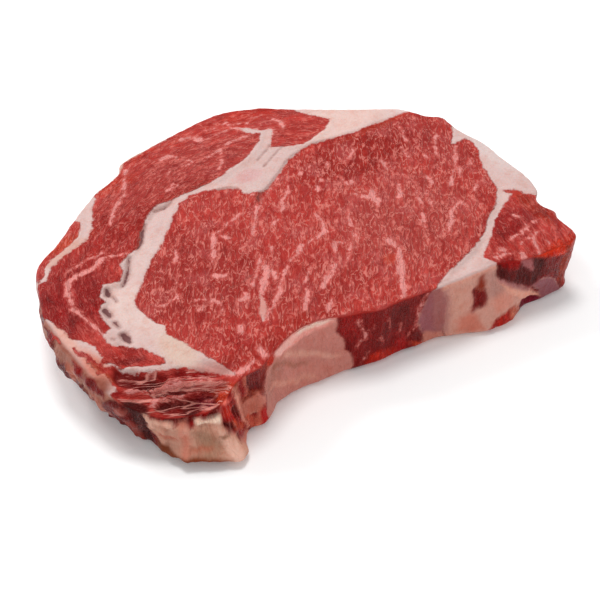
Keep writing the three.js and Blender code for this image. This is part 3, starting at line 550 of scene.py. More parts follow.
def strokes(text):
    """The paths in text, each as an array of x, y and half width."""
    paths = []
    for entry in entries(text):
        path = []
        for row in entry.split():
            x, y, *half = (float(number) for number in row.split(","))
            path.append((x, y, half[0] if half else path[-1][2]))
        paths.append(np.array(path))
    return paths


def linear(code):
    """A colour written as six hexadecimal digits, as linear red, green and blue."""
    encoded = np.array([int(code[at:at + 2], 16) / 255 for at in (0, 2, 4)])
    return np.where(encoded < 0.04045, encoded / 12.92, ((encoded + 0.055) / 1.055) ** 2.4)


# ---- Numbers ----


def smooth(value, low, high):
    """0 at low, 1 at high, and an even slope between them."""
    share = np.clip((value - low) / (high - low), 0, 1)
    return share * share * (3 - 2 * share)


def bell(distance, half):
    return np.exp(-(distance / half) ** 2)


def rough(places, spacings, seed):
    """Smooth random numbers from -1 to 1, one for each place, that change over these spacings."""
    scaled = np.column_stack([places / np.array(spacings), np.zeros(len(places))])
    return np.array([noise.noise(Vector(place)) for place in scaled + SEED_STEP * seed])


def bumps(places, *kinds):
    """The sum of bumps of some kinds, each a height, spacings and seed."""
    return sum(height * rough(places, spacings, seed) for height, spacings, seed in kinds)


def warped(places, *kinds):
    """Places moved about a little, so that what is drawn by them has uneven edges. Each kind of
    move is how far, over what spacing, and a seed."""
    for far, spacing, seed in kinds:
        shift = [rough(places, (spacing, spacing), seed + step) for step in (0, 1)]
        places = places + far * np.column_stack(shift)
    return places


# ---- Distances ----

OUTSIDE = -3.0          # how far outside a tissue counts as nowhere near it, mm


def to_segment(places, start, end):
    """Each place's distance to a segment, and how far along it the nearest point is."""
    step = end - start
    along = np.clip(((places - start) @ step) / (step @ step), 0, 1)
    return np.hypot(*(places - start - along[:, None] * step).T), along


def to_path(places, path):
    return np.min([to_segment(places, *pair)[0] for pair in zip(path[:-1], path[1:])], axis=0)


def inside(places, outline):
    """How far each place is inside the outline, and below 0 outside it."""
    nearest = to_path(places, np.vstack([outline, outline[:1]]))
    within = np.zeros(len(places), bool)
    x, y = places.T
    for (ax, ay), (bx, by) in zip(outline, np.roll(outline, -1, axis=0)):
        if ay != by:
            within ^= ((ay > y) != (by > y)) & (x < ax + (y - ay) * (bx - ax) / (by - ay))
    return np.where(within, nearest, -nearest)


def in_strokes(places, text):
    """How far each place is inside the nearest of the strokes in text, and below 0 outside it."""
    best = np.full(len(places), OUTSIDE)
    for path in strokes(text):
        for start, end in zip(path[:-1], path[1:]):
            distance, along = to_segment(places, start[:2], end[:2])
            best = np.maximum(best, start[2] + along * (end[2] - start[2]) - distance)
    return best


# ---- The edge and the side ----


def spline(stations, places):
    """Points of the smooth closed curve through stations, at places counted in stations."""
    first = np.floor(places).astype(int)
    part = (places - first)[:, None]
    a, b, c, d = (stations[(first + step) % len(stations)] for step in (-1, 0, 1, 2))
    return b + part * (c - a + part * (2 * a - 5 * b + 4 * c - d + part * (3 * (b - c) + d - a))) / 2


def stations():
    """The edge's stations, and the flare and belly at each."""
    edge, shape = [], []
    for _, *pairs, text in STRETCHES:
        outline = points(text)
        share = np.linspace(0, 1, len(outline))[:, None]
        height, flare, belly = (np.array([pair[:1]]) + share * (pair[1] - pair[0]) for pair in pairs)
        edge.append(np.hstack([outline, height]))
        shape.append(np.hstack([flare, belly]))
    return np.vstack(edge), np.vstack(shape)


EDGE, SHAPE = stations()
FINE = np.linspace(0, len(EDGE), EDGE_SAMPLES + 1)
FINE_LENGTH = np.append(0, np.cumsum(np.linalg.norm(np.diff(spline(EDGE, FINE), axis=0), axis=1)))
EDGE_LENGTH = FINE_LENGTH[-1]
BEFORE_SLAB = [name for name, *_ in STRETCHES].index("tail_slab")
SLAB_STATION = sum(len(points(stretch[-1])) for stretch in STRETCHES[:BEFORE_SLAB])
SLAB_LENGTH = np.interp(SLAB_STATION, FINE, FINE_LENGTH)     # from the edge's start to tail_slab


def on_edge(along, curve=EDGE):
    return spline(curve, np.interp(np.mod(along, EDGE_LENGTH), FINE_LENGTH, FINE))


def rounding(height, top):
    """How far the rounded edges pull the side in at a height."""
    upper = np.clip(1 - (top - height) / EDGE_ROUND, 0, 1)
    lower = np.clip(1 - height / FOOT_ROUND, 0, 1)
    return EDGE_ROUND * (1 - np.sqrt(1 - upper ** 2)) + FOOT_ROUND * (1 - np.sqrt(1 - lower ** 2))


def side_points(along, height, stand_out=0.0):
    """Points of the side below places along the edge, each at its height."""
    point = on_edge(along)
    flare, belly = on_edge(along, SHAPE).T
    before, after = on_edge(along - LOOK_ASIDE), on_edge(along + LOOK_ASIDE)
    outward = np.column_stack([after[:, 1] - before[:, 1], before[:, 0] - after[:, 0]])
    outward /= np.linalg.norm(outward, axis=1, keepdims=True)
    up = height / point[:, 2]
    full = 4 * up * (1 - up) * (BELLY_LOW + BELLY_MORE * up)
    out = flare * (1 - up) + full * (belly + RIPPLE * np.sin(2 * math.pi * along / RIPPLE_SPACING))
    for beside, lump_height, far, wide, tall in LUMPS:
        distance = np.hypot(*(point[:, :2] - beside).T)
        out += far * bell(distance, wide) * bell(height - lump_height, tall)
    side = point[:, :2] + outward * (out + stand_out)[:, None]
    side *= (1 - rounding(height, point[:, 2]) / np.hypot(*side.T))[:, None]
    return np.column_stack([side, height])


def row_heights(top):
    """Heights of the rows of the side from the foot up, for edges of these heights."""
    foot_turn = np.linspace(0, math.pi / 2, FOOT_ROWS + 1)
    edge_turn = np.linspace(math.pi / 2, 0, EDGE_ROWS + 1)
    low = FOOT_ROUND * (1 - np.cos(foot_turn))[:, None] + 0 * top
    high = top - EDGE_ROUND * (1 - np.cos(edge_turn))[:, None]
    share = np.linspace(0, 1, SIDE_ROWS + 1)[1:-1, None]
    return np.vstack([low, low[-1] + share * (high[0] - low[-1]), high])


# ---- Tissue ----
# A tissue holds, for each point of the mesh: how far it is inside fat, a vein and a dark line (cut vessels
# and painted seam shadow), in mm; how streaked and how torn the lean is; how calm its fibres are, and its
# place along and across them; how far it is raised; and the tints of lean and fat.


def reflectance(tint, light):
    """The colour that looks like this tint in this light."""
    strength, gloss = light
    return np.clip((linear(tint) - gloss) / strength, DARKEST, PALEST)


def toned(places, tint, light, tones=""):
    """A tint for each place, with soft patches of other tints laid over it."""
    colours = np.tile(reflectance(tint, light), (len(places), 1))
    for entry in entries(tones):
        over, centre, halves, strength = entry.split()
        off = np.hypot(*((places - points(centre)) / points(halves)).T)
        weight = float(strength) * (1 - smooth(off, *TONE_FADE))
        colours += weight[:, None] * (reflectance(over, light) - colours)
    return colours


def patched(table, places, light, *tints):
    """Lays a table's patches over tints, in order. Gives how far each place is inside fat by the
    patches, and how far they raise it."""
    fat = np.full(len(places), OUTSIDE)
    rise = np.zeros(len(places))
    for entry in entries(table):
        kind, tint, soft, patch_rise, outline = entry.split(maxsplit=4)
        depth = inside(places, points(outline))
        fat = np.maximum(fat, depth) if kind == "fat" else np.minimum(fat, -depth)
        soft = max(float(soft), FINEST)
        weight = smooth(depth, -soft, soft)
        for colours in tints:
            colours += weight[:, None] * (reflectance(tint, light) - colours)
        rise += weight * float(patch_rise)
    return fat, rise


def turned(places, degrees):
    """Each place's length along a direction, and across it."""
    cosine, sine = math.cos(math.radians(degrees)), math.sin(math.radians(degrees))
    return places @ np.array([[cosine, -sine], [sine, cosine]])


def fibre_places(places):
    """Each place's length along the fibres there, and across them, how streaked the lean is, and
    how calm the fibres are: 0 where they change their way."""
    x, y = (places - CAP_CENTRE).T
    fibres = np.column_stack([np.arctan2(-x, y) * CAP_ARC, np.hypot(x, y)])
    streaks = np.full(len(places), CAP_STREAKS)
    calm = np.ones(len(places))
    for outline, turn, strength in MUSCLE_FIBRES:
        depth = inside(places, points(outline))
        fibres = np.where(depth[:, None] > 0, turned(places, turn), fibres)
        streaks += smooth(depth, -1.5, 1.5) * (strength - streaks)
        calm *= smooth(np.abs(depth), 0.8, 2)
    band = smooth(-x, *BAND_FROM) * (1 - smooth(y, *BAND_TOP)) * (streaks < 0.9)
    return fibres, streaks * (1 - BAND_CALMER * band), calm


def face_tissue(places):
    """The tissue of the cut face at places of its pattern."""
    near_rim = smooth(-places[:, 0], *RIM_FROM)[:, None]
    drawn = places + near_rim * (warped(places, *RIM_EDGES) - places)
    fat, lean = (np.max([inside(drawn, points(text)) for text in outlines.values()], axis=0)
                 for outlines in (FAT, LEAN_IN_FAT))
    fibres, streaks, calm = fibre_places(places)
    # The lean's tones, with a painted sheen along the rim.
    lean_tint = toned(places, LEAN_TINT, LEAN_LIGHT, LEAN_TONES_AND_RIM_SHEEN)
    _, rise = patched(FACE_PATCHES, warped(places, PATCH_EDGES), LEAN_LIGHT, lean_tint)
    return {
        "fat": np.minimum(fat, -lean), "vein": in_strokes(places, VEINS),
        "dark": np.maximum(in_strokes(places, VESSELS_AND_SEAM_SHADOWS), in_strokes(places, FAINT_DARKS) - FAINTER),
        "torn": smooth(inside(places, points(TAIL_OUTLINE)), -2, 2), "streaks": streaks,
        "calm": calm, "fibres": fibres, "rise": rise, "lean_tint": lean_tint,
        "fat_tint": toned(places, FAT_TINT, FAT_LIGHT, FAT_TONES),
    }


def side_tissue(places):
    """The tissue of the drawn part of the side, at places along it and up it."""
    uneven = warped(places, *SIDE_EDGES)
    tints = [toned(places, tint, SIDE_LIGHT) for tint in (SIDE_LEAN_TINT, SIDE_FAT_TINT)]
    fat, rise = patched(SIDE_PATCHES, uneven, SIDE_LIGHT, *tints)
    light = 1 + LEFT_BRIGHTER * (1 - smooth(places[:, 0], -20, 6))[:, None]
    level = np.ones(len(places))
    return {
        "fat": fat, "vein": in_strokes(uneven, SIDE_VEINS) - SIDE_VEIN_THINNER,
        "dark": OUTSIDE * level, "torn": SIDE_TORN + SLAB_TORN * bell(places[:, 0] - 8, 16),
        "streaks": SIDE_STREAKS * level, "calm": level, "fibres": places[:, ::-1], "rise": rise,
        "lean_tint": tints[0] / light, "fat_tint": tints[1] / light,
    }


def hidden_tissue(bare, places, down):
    """The tissue of the side behind, at points of it, with its places and how far down they are."""
    inner = bare[:, :2] * HIDDEN_INSET
    drift = (down * HIDDEN_DRIFT)[:, None]
    tissue = face_tissue(inner + drift * (warped(inner, HIDDEN_EDGES) - inner))
    level = np.ones(len(places))
    tissue.update(fibres=places[:, ::-1], streaks=tissue["streaks"] * HIDDEN_STREAKS,
                  torn=HIDDEN_TORN * level, calm=level)
    return tissue


def blended(first, second, share):
    """A tissue that is first where share is 0 and second where it is 1."""
    tissue = {}
    for name, values in first.items():
        part = share if values.ndim == 1 else share[:, None]
        part = np.round(part) if name == "fibres" else part
        tissue[name] = values + part * (second[name] - values)
    return tissue


# ---- The cut faces ----


def tail_ridges(x, y):
    """Height of the torn tail's ridges, which fade out round it."""
    step = np.subtract(TAIL_TO, TAIL_FROM)
    length = np.hypot(*step)
    along = ((x - TAIL_FROM[0]) * step[0] + (y - TAIL_FROM[1]) * step[1]) / length
    across = ((x - TAIL_FROM[0]) * step[1] - (y - TAIL_FROM[1]) * step[0]) / length
    present = smooth(across, 0, 4) * smooth(along, -6, 2) * smooth(length + 4 - along, 0, 8)
    wave = 2 * math.pi * across / TAIL_SPACING + TAIL_WANDER * np.sin(along / 5)
    return TAIL_RIDGE * present * np.sin(wave)


def broad_relief(places):
    """Height of the cut face over its plane: muscles, seams and the torn tail."""
    relief = tail_ridges(*places.T)
    for centre, halves, rise in MUSCLES:
        relief += rise * (1 - smooth(np.hypot(*((places - centre) / halves).T), *MUSCLE_FADE))
    for depth, width, text in SEAMS:
        relief -= depth * bell(to_path(places, points(text)), width)
    return relief


def fine_relief(places, tissue):
    """Grain of the lean, swell of the fat, pits of the vessels and the strings of the tail."""
    fat, calm, torn, fibres = (tissue[name] for name in ("fat", "calm", "torn", "fibres"))
    lean = 1 - smooth(fat, -0.5, 0.5)
    grain = calm * bumps(fibres, FIBRE_GRAIN) + bumps(places, LEAN_GRAIN)
    lip = FAT_LIP * smooth(fat, -0.4, 0.6) * (1 - smooth(fat, 0.8, 3))
    vein = (VEIN_RISE + TORN_VEIN_RISE * torn) * smooth(tissue["vein"], -0.8, 0.6)
    crags = calm * bumps(fibres, FIBRE_CRAGS) + bumps(places, TORN_CRAGS)
    return (lean * grain + (1 - lean) * bumps(places, FAT_SWELL) + lip + vein + torn * crags
            + tissue["rise"] - DARK_SINK * smooth(tissue["dark"], -0.4, 0.6))


def ring_places(rings):
    """For each point of a disc of rings: its reach from 0 in the middle to 1, and share round it."""
    reach, share = [0.0], [0.0]
    for ring in range(1, rings + 1):
        count = ring * SECTORS
        reach.extend([ring / rings] * count)
        share.extend(step / count for step in range(count))
    return np.array(reach), np.array(share)


def disc_faces(rings):
    """Triangles of such a disc, anticlockwise from above, as numbers of its points."""
    faces = []
    for ring in range(1, rings + 1):
        outer = 1 + SECTORS * ring * (ring - 1) // 2
        inner = 1 + SECTORS * (ring - 1) * (ring - 2) // 2 if ring > 1 else 0
        count, inner_count = ring * SECTORS, max(1, (ring - 1) * SECTORS)
        for sector in range(SECTORS):
            for step in range(ring):
                a = outer + sector * ring + step
                b = outer + (sector * ring + step + 1) % count
                c = inner + (sector * (ring - 1) + step) % inner_count
                faces.append((a, b, c))
                if step < ring - 1:
                    faces.append((c, b, inner + (sector * (ring - 1) + step + 1) % inner_count))
    return np.array(faces)


def along_rim(rim, share):
    """Points of a closed rim at shares round it."""
    place = share * len(rim)
    low = np.floor(place).astype(int)
    part = (place - low)[:, None]
    return rim[low % len(rim)] * (1 - part) + rim[(low + 1) % len(rim)] * part


def pattern_places(flat, height):
    """Where on the pattern a place of the cut face at this height is drawn."""
    return flat - (PATTERN_HEIGHT - height)[:, None] * PATTERN_LEAN


def upper_face(rim):
    """Points of the upper cut face inside its rim, and their tissue."""
    reach, share = ring_places(RINGS)
    edge = along_rim(rim, share)
    flat = edge[:, :2] * reach[:, None]
    inward = np.hypot(*(edge[:, :2] - flat).T)
    level = edge[:, 2] + (THICKNESS - edge[:, 2]) * smooth(inward, 0, SHOULDER)
    height = level + broad_relief(flat) * smooth(inward, 0, 4)
    tissue = face_tissue(pattern_places(flat, height))
    height = height + fine_relief(flat, tissue) * smooth(inward, 0.3, 2)
    return np.column_stack([flat, height]), tissue


def foot_face(rim):
    """Points of the face that the steak lies on, and their tissue: the pattern, gone on with."""
    reach, share = ring_places(FOOT_RINGS)
    foot = along_rim(rim, share) * (reach * (1 - FOOT_GAP / FOOT_RINGS))[:, None]
    foot[:, 2] = 0
    return foot, face_tissue(warped(foot[:, :2] * FOOT_PATTERN, FOOT_EDGES))


# ---- The side ----


def foot_overhang(past, heights):
    """How far the side hangs out over its foot, most of all under the slab."""
    slab = bell(past - SLAB_MIDDLE, SLAB_HALF)
    shapes = (BULGE_OUT, BULGE_HEIGHT, BULGE_HALF, TUCK_IN, TUCK_TOP)
    out, middle, half, tuck, top = (usual + more * slab for usual, more in shapes)
    return out * bell(heights - middle, half) - tuck * (1 - smooth(heights / top, 0, 1))


def whole_side():
    """Points of the side, row by row up from the foot, and their tissue."""
    columns = RINGS * SECTORS
    along = np.arange(columns) * EDGE_LENGTH / columns
    tops = on_edge(along)[:, 2]
    heights = row_heights(tops).ravel()
    rows = len(heights) // columns
    along, tops = np.tile(along, rows), np.tile(tops, rows)
    bare = side_points(along, heights)
    past = np.mod(along - SLAB_LENGTH - COUNT_FROM, EDGE_LENGTH) + COUNT_FROM
    places = np.column_stack([past, heights])

    drawn = smooth(past, *DRAWN_FROM) * (1 - smooth(past, *DRAWN_TO))
    side = blended(hidden_tissue(bare, places, tops - heights), side_tissue(places), drawn)
    rim = face_tissue(pattern_places(bare[:, :2], heights))
    rim["rise"] *= 0
    rim_share = smooth(heights, tops - EDGE_ROUND * 0.9, tops - EDGE_ROUND * 0.15)
    tissue = blended(side, rim, rim_share)
    # Bumps and fibres fade out where their places leap: at the rim, and where the count starts.
    whole = smooth(np.minimum(past - COUNT_FROM, COUNT_FROM + EDGE_LENGTH - past), 0, 5)
    tissue["calm"] *= smooth(np.abs(rim_share - 0.5), 0.42, 0.5) * whole

    craggier = LEFT_CRAGGIER * (1 - smooth(past, -20, -12)) + SLAB_CRAGGIER * bell(past, 10)
    crags = bumps(places, *SIDE_CRAGS) * (1 + drawn * craggier)
    free = whole * smooth(heights, 0, 3) * smooth(tops - heights, 0, 3)
    low = 1 - smooth(heights, 2, 9)
    ripples = (bumps(places, *EDGE_BUMPS) * smooth(heights, 0, 6)
               + bumps(places * (1, 0), FOOT_BUMPS) * low)
    stand_out = free * (crags + tissue["rise"]) + whole * ripples + foot_overhang(past, heights)
    return side_points(along, heights, stand_out), tissue, rows, columns


# ---- The mesh ----

LAYERS = ("fat", "vein", "dark", "streaks", "torn", "calm", "lean_tint", "fat_tint", "fibres")
BAKE_SIZE = 240         # width and height of the sheet that the surface is spread on, mm
BAKE_GAP = 2
BAKE_STRIPS = 3         # the side lies on the sheet in this many strips, one above the other
FOOT_SCALE = 0.31       # the face it lies on is spread smaller


def spread(groups, vertices, rows, columns):
    """Each face corner's place on the sheet: the upper face, the side in strips, and the foot."""
    low, high = vertices[:, :2].min(0), vertices[:, :2].max(0)
    upper = vertices[groups["top"].ravel(), :2] - low + BAKE_GAP

    side = vertices[:rows * columns].reshape(rows, columns, 3)
    row_steps = np.linalg.norm(np.diff(side, axis=0), axis=2).mean(1)
    row_places = np.append(0, np.cumsum(row_steps))
    per_strip = columns // BAKE_STRIPS
    row, column = np.divmod(np.arange((rows - 1) * columns), columns)
    corner_columns = np.stack([column, column + 1, column + 1, column, column + 1, column], 1)
    corner_rows = np.stack([row, row, row + 1, row, row + 1, row + 1], 1)
    strip = (column // per_strip)[:, None]
    across = (corner_columns - strip * per_strip) * EDGE_LENGTH / columns + BAKE_GAP
    strip_start = (high - low)[1] + 2 * BAKE_GAP + strip * (row_places[-1] + BAKE_GAP)
    strips = np.column_stack([across.ravel(), (strip_start + row_places[corner_rows]).ravel()])

    under = (vertices[groups["foot"].ravel(), :2] - low) * FOOT_SCALE
    foot = np.column_stack([BAKE_SIZE - BAKE_GAP - under[:, 1], under[:, 0] + BAKE_GAP])
    return np.vstack([strips, upper, foot]) / BAKE_SIZE


def steak_mesh():
    """Points in mm, triangles in groups, and the tissue at each point."""
    side, side_parts, rows, columns = whole_side()
    top, top_parts = upper_face(side[-columns:])
    foot, foot_parts = foot_face(side[:columns])
    inner = len(top) - columns
    vertices = np.vstack([side, top[:inner], foot])

    # The side's top row is the upper face's last ring.
    tissue = {name: np.concatenate([side_parts[name][:-columns], top_parts[name][inner:],
                                    top_parts[name][:inner], foot_parts[name]]) for name in LAYERS}

    lower = np.arange((rows - 1) * columns).reshape(rows - 1, columns)
    after = np.roll(lower, -1, axis=1)
    corners = [lower, after, after + columns, lower, after + columns, lower + columns]
    top_numbers = np.append(len(side) + np.arange(inner), np.arange(len(side) - columns, len(side)))
    foot_start = len(side) + inner
    foot_columns = columns // 2
    foot_rim = foot_start + len(foot) - foot_columns + np.arange(foot_columns)
    ring = np.arange(foot_columns)
    ahead = (ring + 1) % foot_columns
    joint_faces = np.vstack([
        np.column_stack([foot_rim[ring], 2 * ring + 1, 2 * ring]),
        np.column_stack([foot_rim[ring], foot_rim[ahead], 2 * ring + 1]),
        np.column_stack([foot_rim[ahead], 2 * ahead, 2 * ring + 1]),
    ])
    groups = {
        "side": np.stack(corners, -1).reshape(-1, 3),
        "top": top_numbers[disc_faces(RINGS)],
        "foot": np.vstack([foot_start + disc_faces(FOOT_RINGS)[:, ::-1], joint_faces]),
    }
    return vertices, groups, tissue, spread(groups, vertices, rows, columns)


def add_layer(mesh, name, values):
    """Keeps values, one for each point, as a named layer of the mesh."""
    if values.ndim == 1:
        kind, field = "FLOAT", "value"
    elif values.shape[1] == 2:
        kind, field = "FLOAT_VECTOR", "vector"
        values = np.column_stack([values, np.zeros(len(values))])
    else:
        kind, field = "FLOAT_COLOR", "color"
        values = np.column_stack([values, np.ones(len(values))])
    layer = mesh.attributes.new(name, kind, "POINT")
    layer.data.foreach_set(field, values.ravel().astype(np.float32))


def build_steak():
    vertices, groups, tissue, sheet = steak_mesh()
    cad_low, cad_high = (np.array(corner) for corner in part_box("steak"))
    shift = (cad_low + cad_high) / 2 / MM - (vertices.min(0) + vertices.max(0)) / 2
    shift[2] = 0
    faces = np.vstack(list(groups.values()))
    mesh = bpy.data.meshes.new("ribeye_steak")
    mesh.from_pydata(((vertices + shift) * MM).tolist(), [], faces.tolist())
    mesh.polygons.foreach_set("use_smooth", np.ones(len(faces), bool))
    for name, values in tissue.items():
        add_layer(mesh, name, values)
    mesh.uv_layers.new(name="OFBake").data.foreach_set("uv", sheet.ravel().astype(np.float32))
    mesh.update()
    steak = bpy.data.objects.new("ribeye_steak", mesh)
    bpy.context.scene.collection.objects.link(steak)
    return steak, shift


# ---- Materials ----

# Noises of the meat: scale for each mm, detail, roughness and distortion.
NOISES = {
    "patches": (0.22, 4, 0.62, 0.8), "haze": (0.12, 3, 0.6), "clouds": (0.28, 4, 0.6),
    "flecks": (1.1, 3, 0.6), "broad_wobble": (0.3, 2, 0.5), "wobble": (0.8, 3, 0.65),
    "gloss": (0.5, 2, 0.5),
}
# Noises of its fibres: scales along and across them, detail, roughness and distortion.
FIBRE_NOISES = {
    "bundles": ((0.09, 0.25), 3, 0.6, 0.8), "strands": ((0.2, 0.6), 3, 0.6, 1.0),
    "worms": ((0.18, 0.54), 2, 0.55, 0.8), "strings": ((0.05, 0.22), 2, 0.5, 0.8),
}
# Lean and fat are multiplied by shades where a noise is past one value, and wholly past another:
# the noise, those values, how much of the shade at most, and the shade.
PATCH_SHADE = ("patches", 0.52, 0.32, 0.75, (0.8, 0.5, 0.52))
FAT_SHADES = (("clouds", 0.45, 0.7, 0.8, (0.96, 0.82, 0.78)),
              ("flecks", 0.52, 0.7, 0.7, (1.08, 1.1, 1.1)),
              ("flecks", 0.46, 0.3, 0.5, (0.9, 0.8, 0.77)))
BUNDLE_SHADES = ((0.5, 0.34, (0.72, 0.42, 0.44)), (0.54, 0.68, (1.3, 1.5, 1.5)))    # values, shade
GAP_SHADE = (0.74, 0.44, 0.46)      # between the lean's threads
CREASE_SHADE = (0.86, 0.72, 0.67)   # in torn fat
STRING_SHADE = (1.18, 1.22, 1.25)   # of strings that cross fat

# The threads' tint is partly a painted wet highlight.
HAZE_TINT, THREAD_AND_HIGHLIGHT_TINT, STRING_TINT = "c0645f", "e08c7e", "e39a8b"
VEIN_EDGE_TINT, VEIN_TINT = "cf6a60", "e6988e"
# The dark lines: a soft brownish edge, which is the painted shadow along the seams and rims the cut
# vessels, and a darker core where they are wider.
DARK_EDGE_TINT, DARK_TINT = "8a5b51", "694344"

GLOSS = {
    "Specular IOR Level": 0.17, "Specular Tint": (1, 0.52, 0.47, 1), "Subsurface Weight": 0.1,
    "Subsurface Radius": (1.0, 0.3, 0.2), "Subsurface Scale": 1.2 * MM,
}
BUMP = {"Strength": 0.8, "Distance": 0.7 * MM}


class Nodes:
    """Adds nodes to a material. An input is a number, a colour or another node's output."""

    def __init__(self, name):
        self.material = bpy.data.materials.new(name)
        self.material.use_nodes = True
        self.tree = self.material.node_tree
        self.shader = self.tree.nodes["Principled BSDF"]

    def add(self, kind, inputs=(), **settings):
        node = self.tree.nodes.new(kind)
        for name, value in settings.items():
            setattr(node, name, value)
        self.feed(node, inputs)
        return node

    def feed(self, node, inputs):
        """Links outputs to a node's inputs, and sets numbers and colours on them."""
        for key, value in dict(inputs).items():
            if isinstance(value, bpy.types.NodeSocket):
                self.tree.links.new(value, node.inputs[key])
            else:
                node.inputs[key].default_value = value

    def math(self, operation, *values):
        return self.add("ShaderNodeMath", enumerate(values), operation=operation).outputs[0]

    def times(self, vector, scales):
        return self.add("ShaderNodeVectorMath", {0: vector, 1: scales}, operation="MULTIPLY").outputs[0]

    def ramp(self, value, low, high, out_low=0.0, out_high=1.0):
        """out_low at low, out_high at high, and an even slope between them."""
        inputs = {"Value": value, "From Min": low, "From Max": high, "To Min": out_low, "To Max": out_high}
        return self.add("ShaderNodeMapRange", inputs, interpolation_type="SMOOTHSTEP").outputs[0]

    def mix(self, share, first, second, blend="MIX"):
        inputs = {0: share, 6: first, 7: second}
        return self.add("ShaderNodeMix", inputs, data_type="RGBA", blend_type=blend).outputs[2]

    def laid(self, share, colour, tint):
        """The colour with a share of what looks like this tint on the cut face."""
        return self.mix(share, colour, (*reflectance(tint, LEAN_LIGHT), 1))

    def shaded(self, share, colour, shade):
        return self.mix(share, colour, (*shade, 1), "MULTIPLY")

    def ridge(self, value):
        """How far a noise is from its middle: 0 along thin winding lines."""
        return self.math("ABSOLUTE", self.math("SUBTRACT", value, 0.5))

    def attribute(self, name, output="Fac"):
        return self.add("ShaderNodeAttribute", attribute_name=name).outputs[output]

    def noise(self, vector, scale, detail, roughness, distortion=0.0):
        inputs = {"Vector": vector, "Scale": scale, "Detail": detail, "Roughness": roughness,
                  "Distortion": distortion}
        return self.add("ShaderNodeTexNoise", inputs).outputs["Fac"]


def lean_colour(nodes, noises, worms, strings):
    """The lean: its tint in darker and paler patches, with pale curled threads, partly a painted wet
    highlight, and dark gaps.
    """
    lean = nodes.attribute("lean_tint", "Color")
    streaks = nodes.attribute("streaks")
    name, low, high, most, shade = PATCH_SHADE
    lean = nodes.shaded(nodes.ramp(noises[name], low, high, 0, most), lean, shade)
    uneven = nodes.ramp(streaks, 1, 0.2, 0.5, 1.0)
    for low, high, shade in BUNDLE_SHADES:
        share = nodes.math("MULTIPLY", nodes.ramp(noises["bundles"], low, high), uneven)
        lean = nodes.shaded(share, lean, shade)
    haze = nodes.math("MULTIPLY", nodes.ramp(noises["haze"], 0.5, 0.68, 0, 0.45), streaks)
    lean = nodes.laid(haze, lean, HAZE_TINT)
    lean = nodes.shaded(nodes.ramp(worms, 0.05, 0.16, 0, 0.8), lean, GAP_SHADE)
    # Pale threads of tissue, partly a painted wet highlight.
    threads_here = nodes.math("MULTIPLY", nodes.ramp(noises["patches"], 0.36, 0.6, 0.25, 1), streaks)
    threads = nodes.math("MULTIPLY", nodes.ramp(worms, 0.055, 0.01, 0, 0.7), threads_here)
    lean = nodes.laid(threads, lean, THREAD_AND_HIGHLIGHT_TINT)
    return nodes.laid(strings, lean, STRING_TINT)


def fat_colour(nodes, noises, strands, strings):
    """The fat: its tint with pinker clouds, paler flecks and faint threads."""
    fat = nodes.attribute("fat_tint", "Color")
    for name, low, high, most, shade in FAT_SHADES:
        fat = nodes.shaded(nodes.ramp(noises[name], low, high, 0, most), fat, shade)
    creases_here = nodes.ramp(nodes.attribute("torn"), 0.1, 0.9)
    creases = nodes.math("MULTIPLY", nodes.ramp(strands, 0.52, 0.34), creases_here)
    fat = nodes.shaded(creases, fat, CREASE_SHADE)
    return nodes.shaded(nodes.math("MULTIPLY", strings, 0.6), fat, STRING_SHADE)


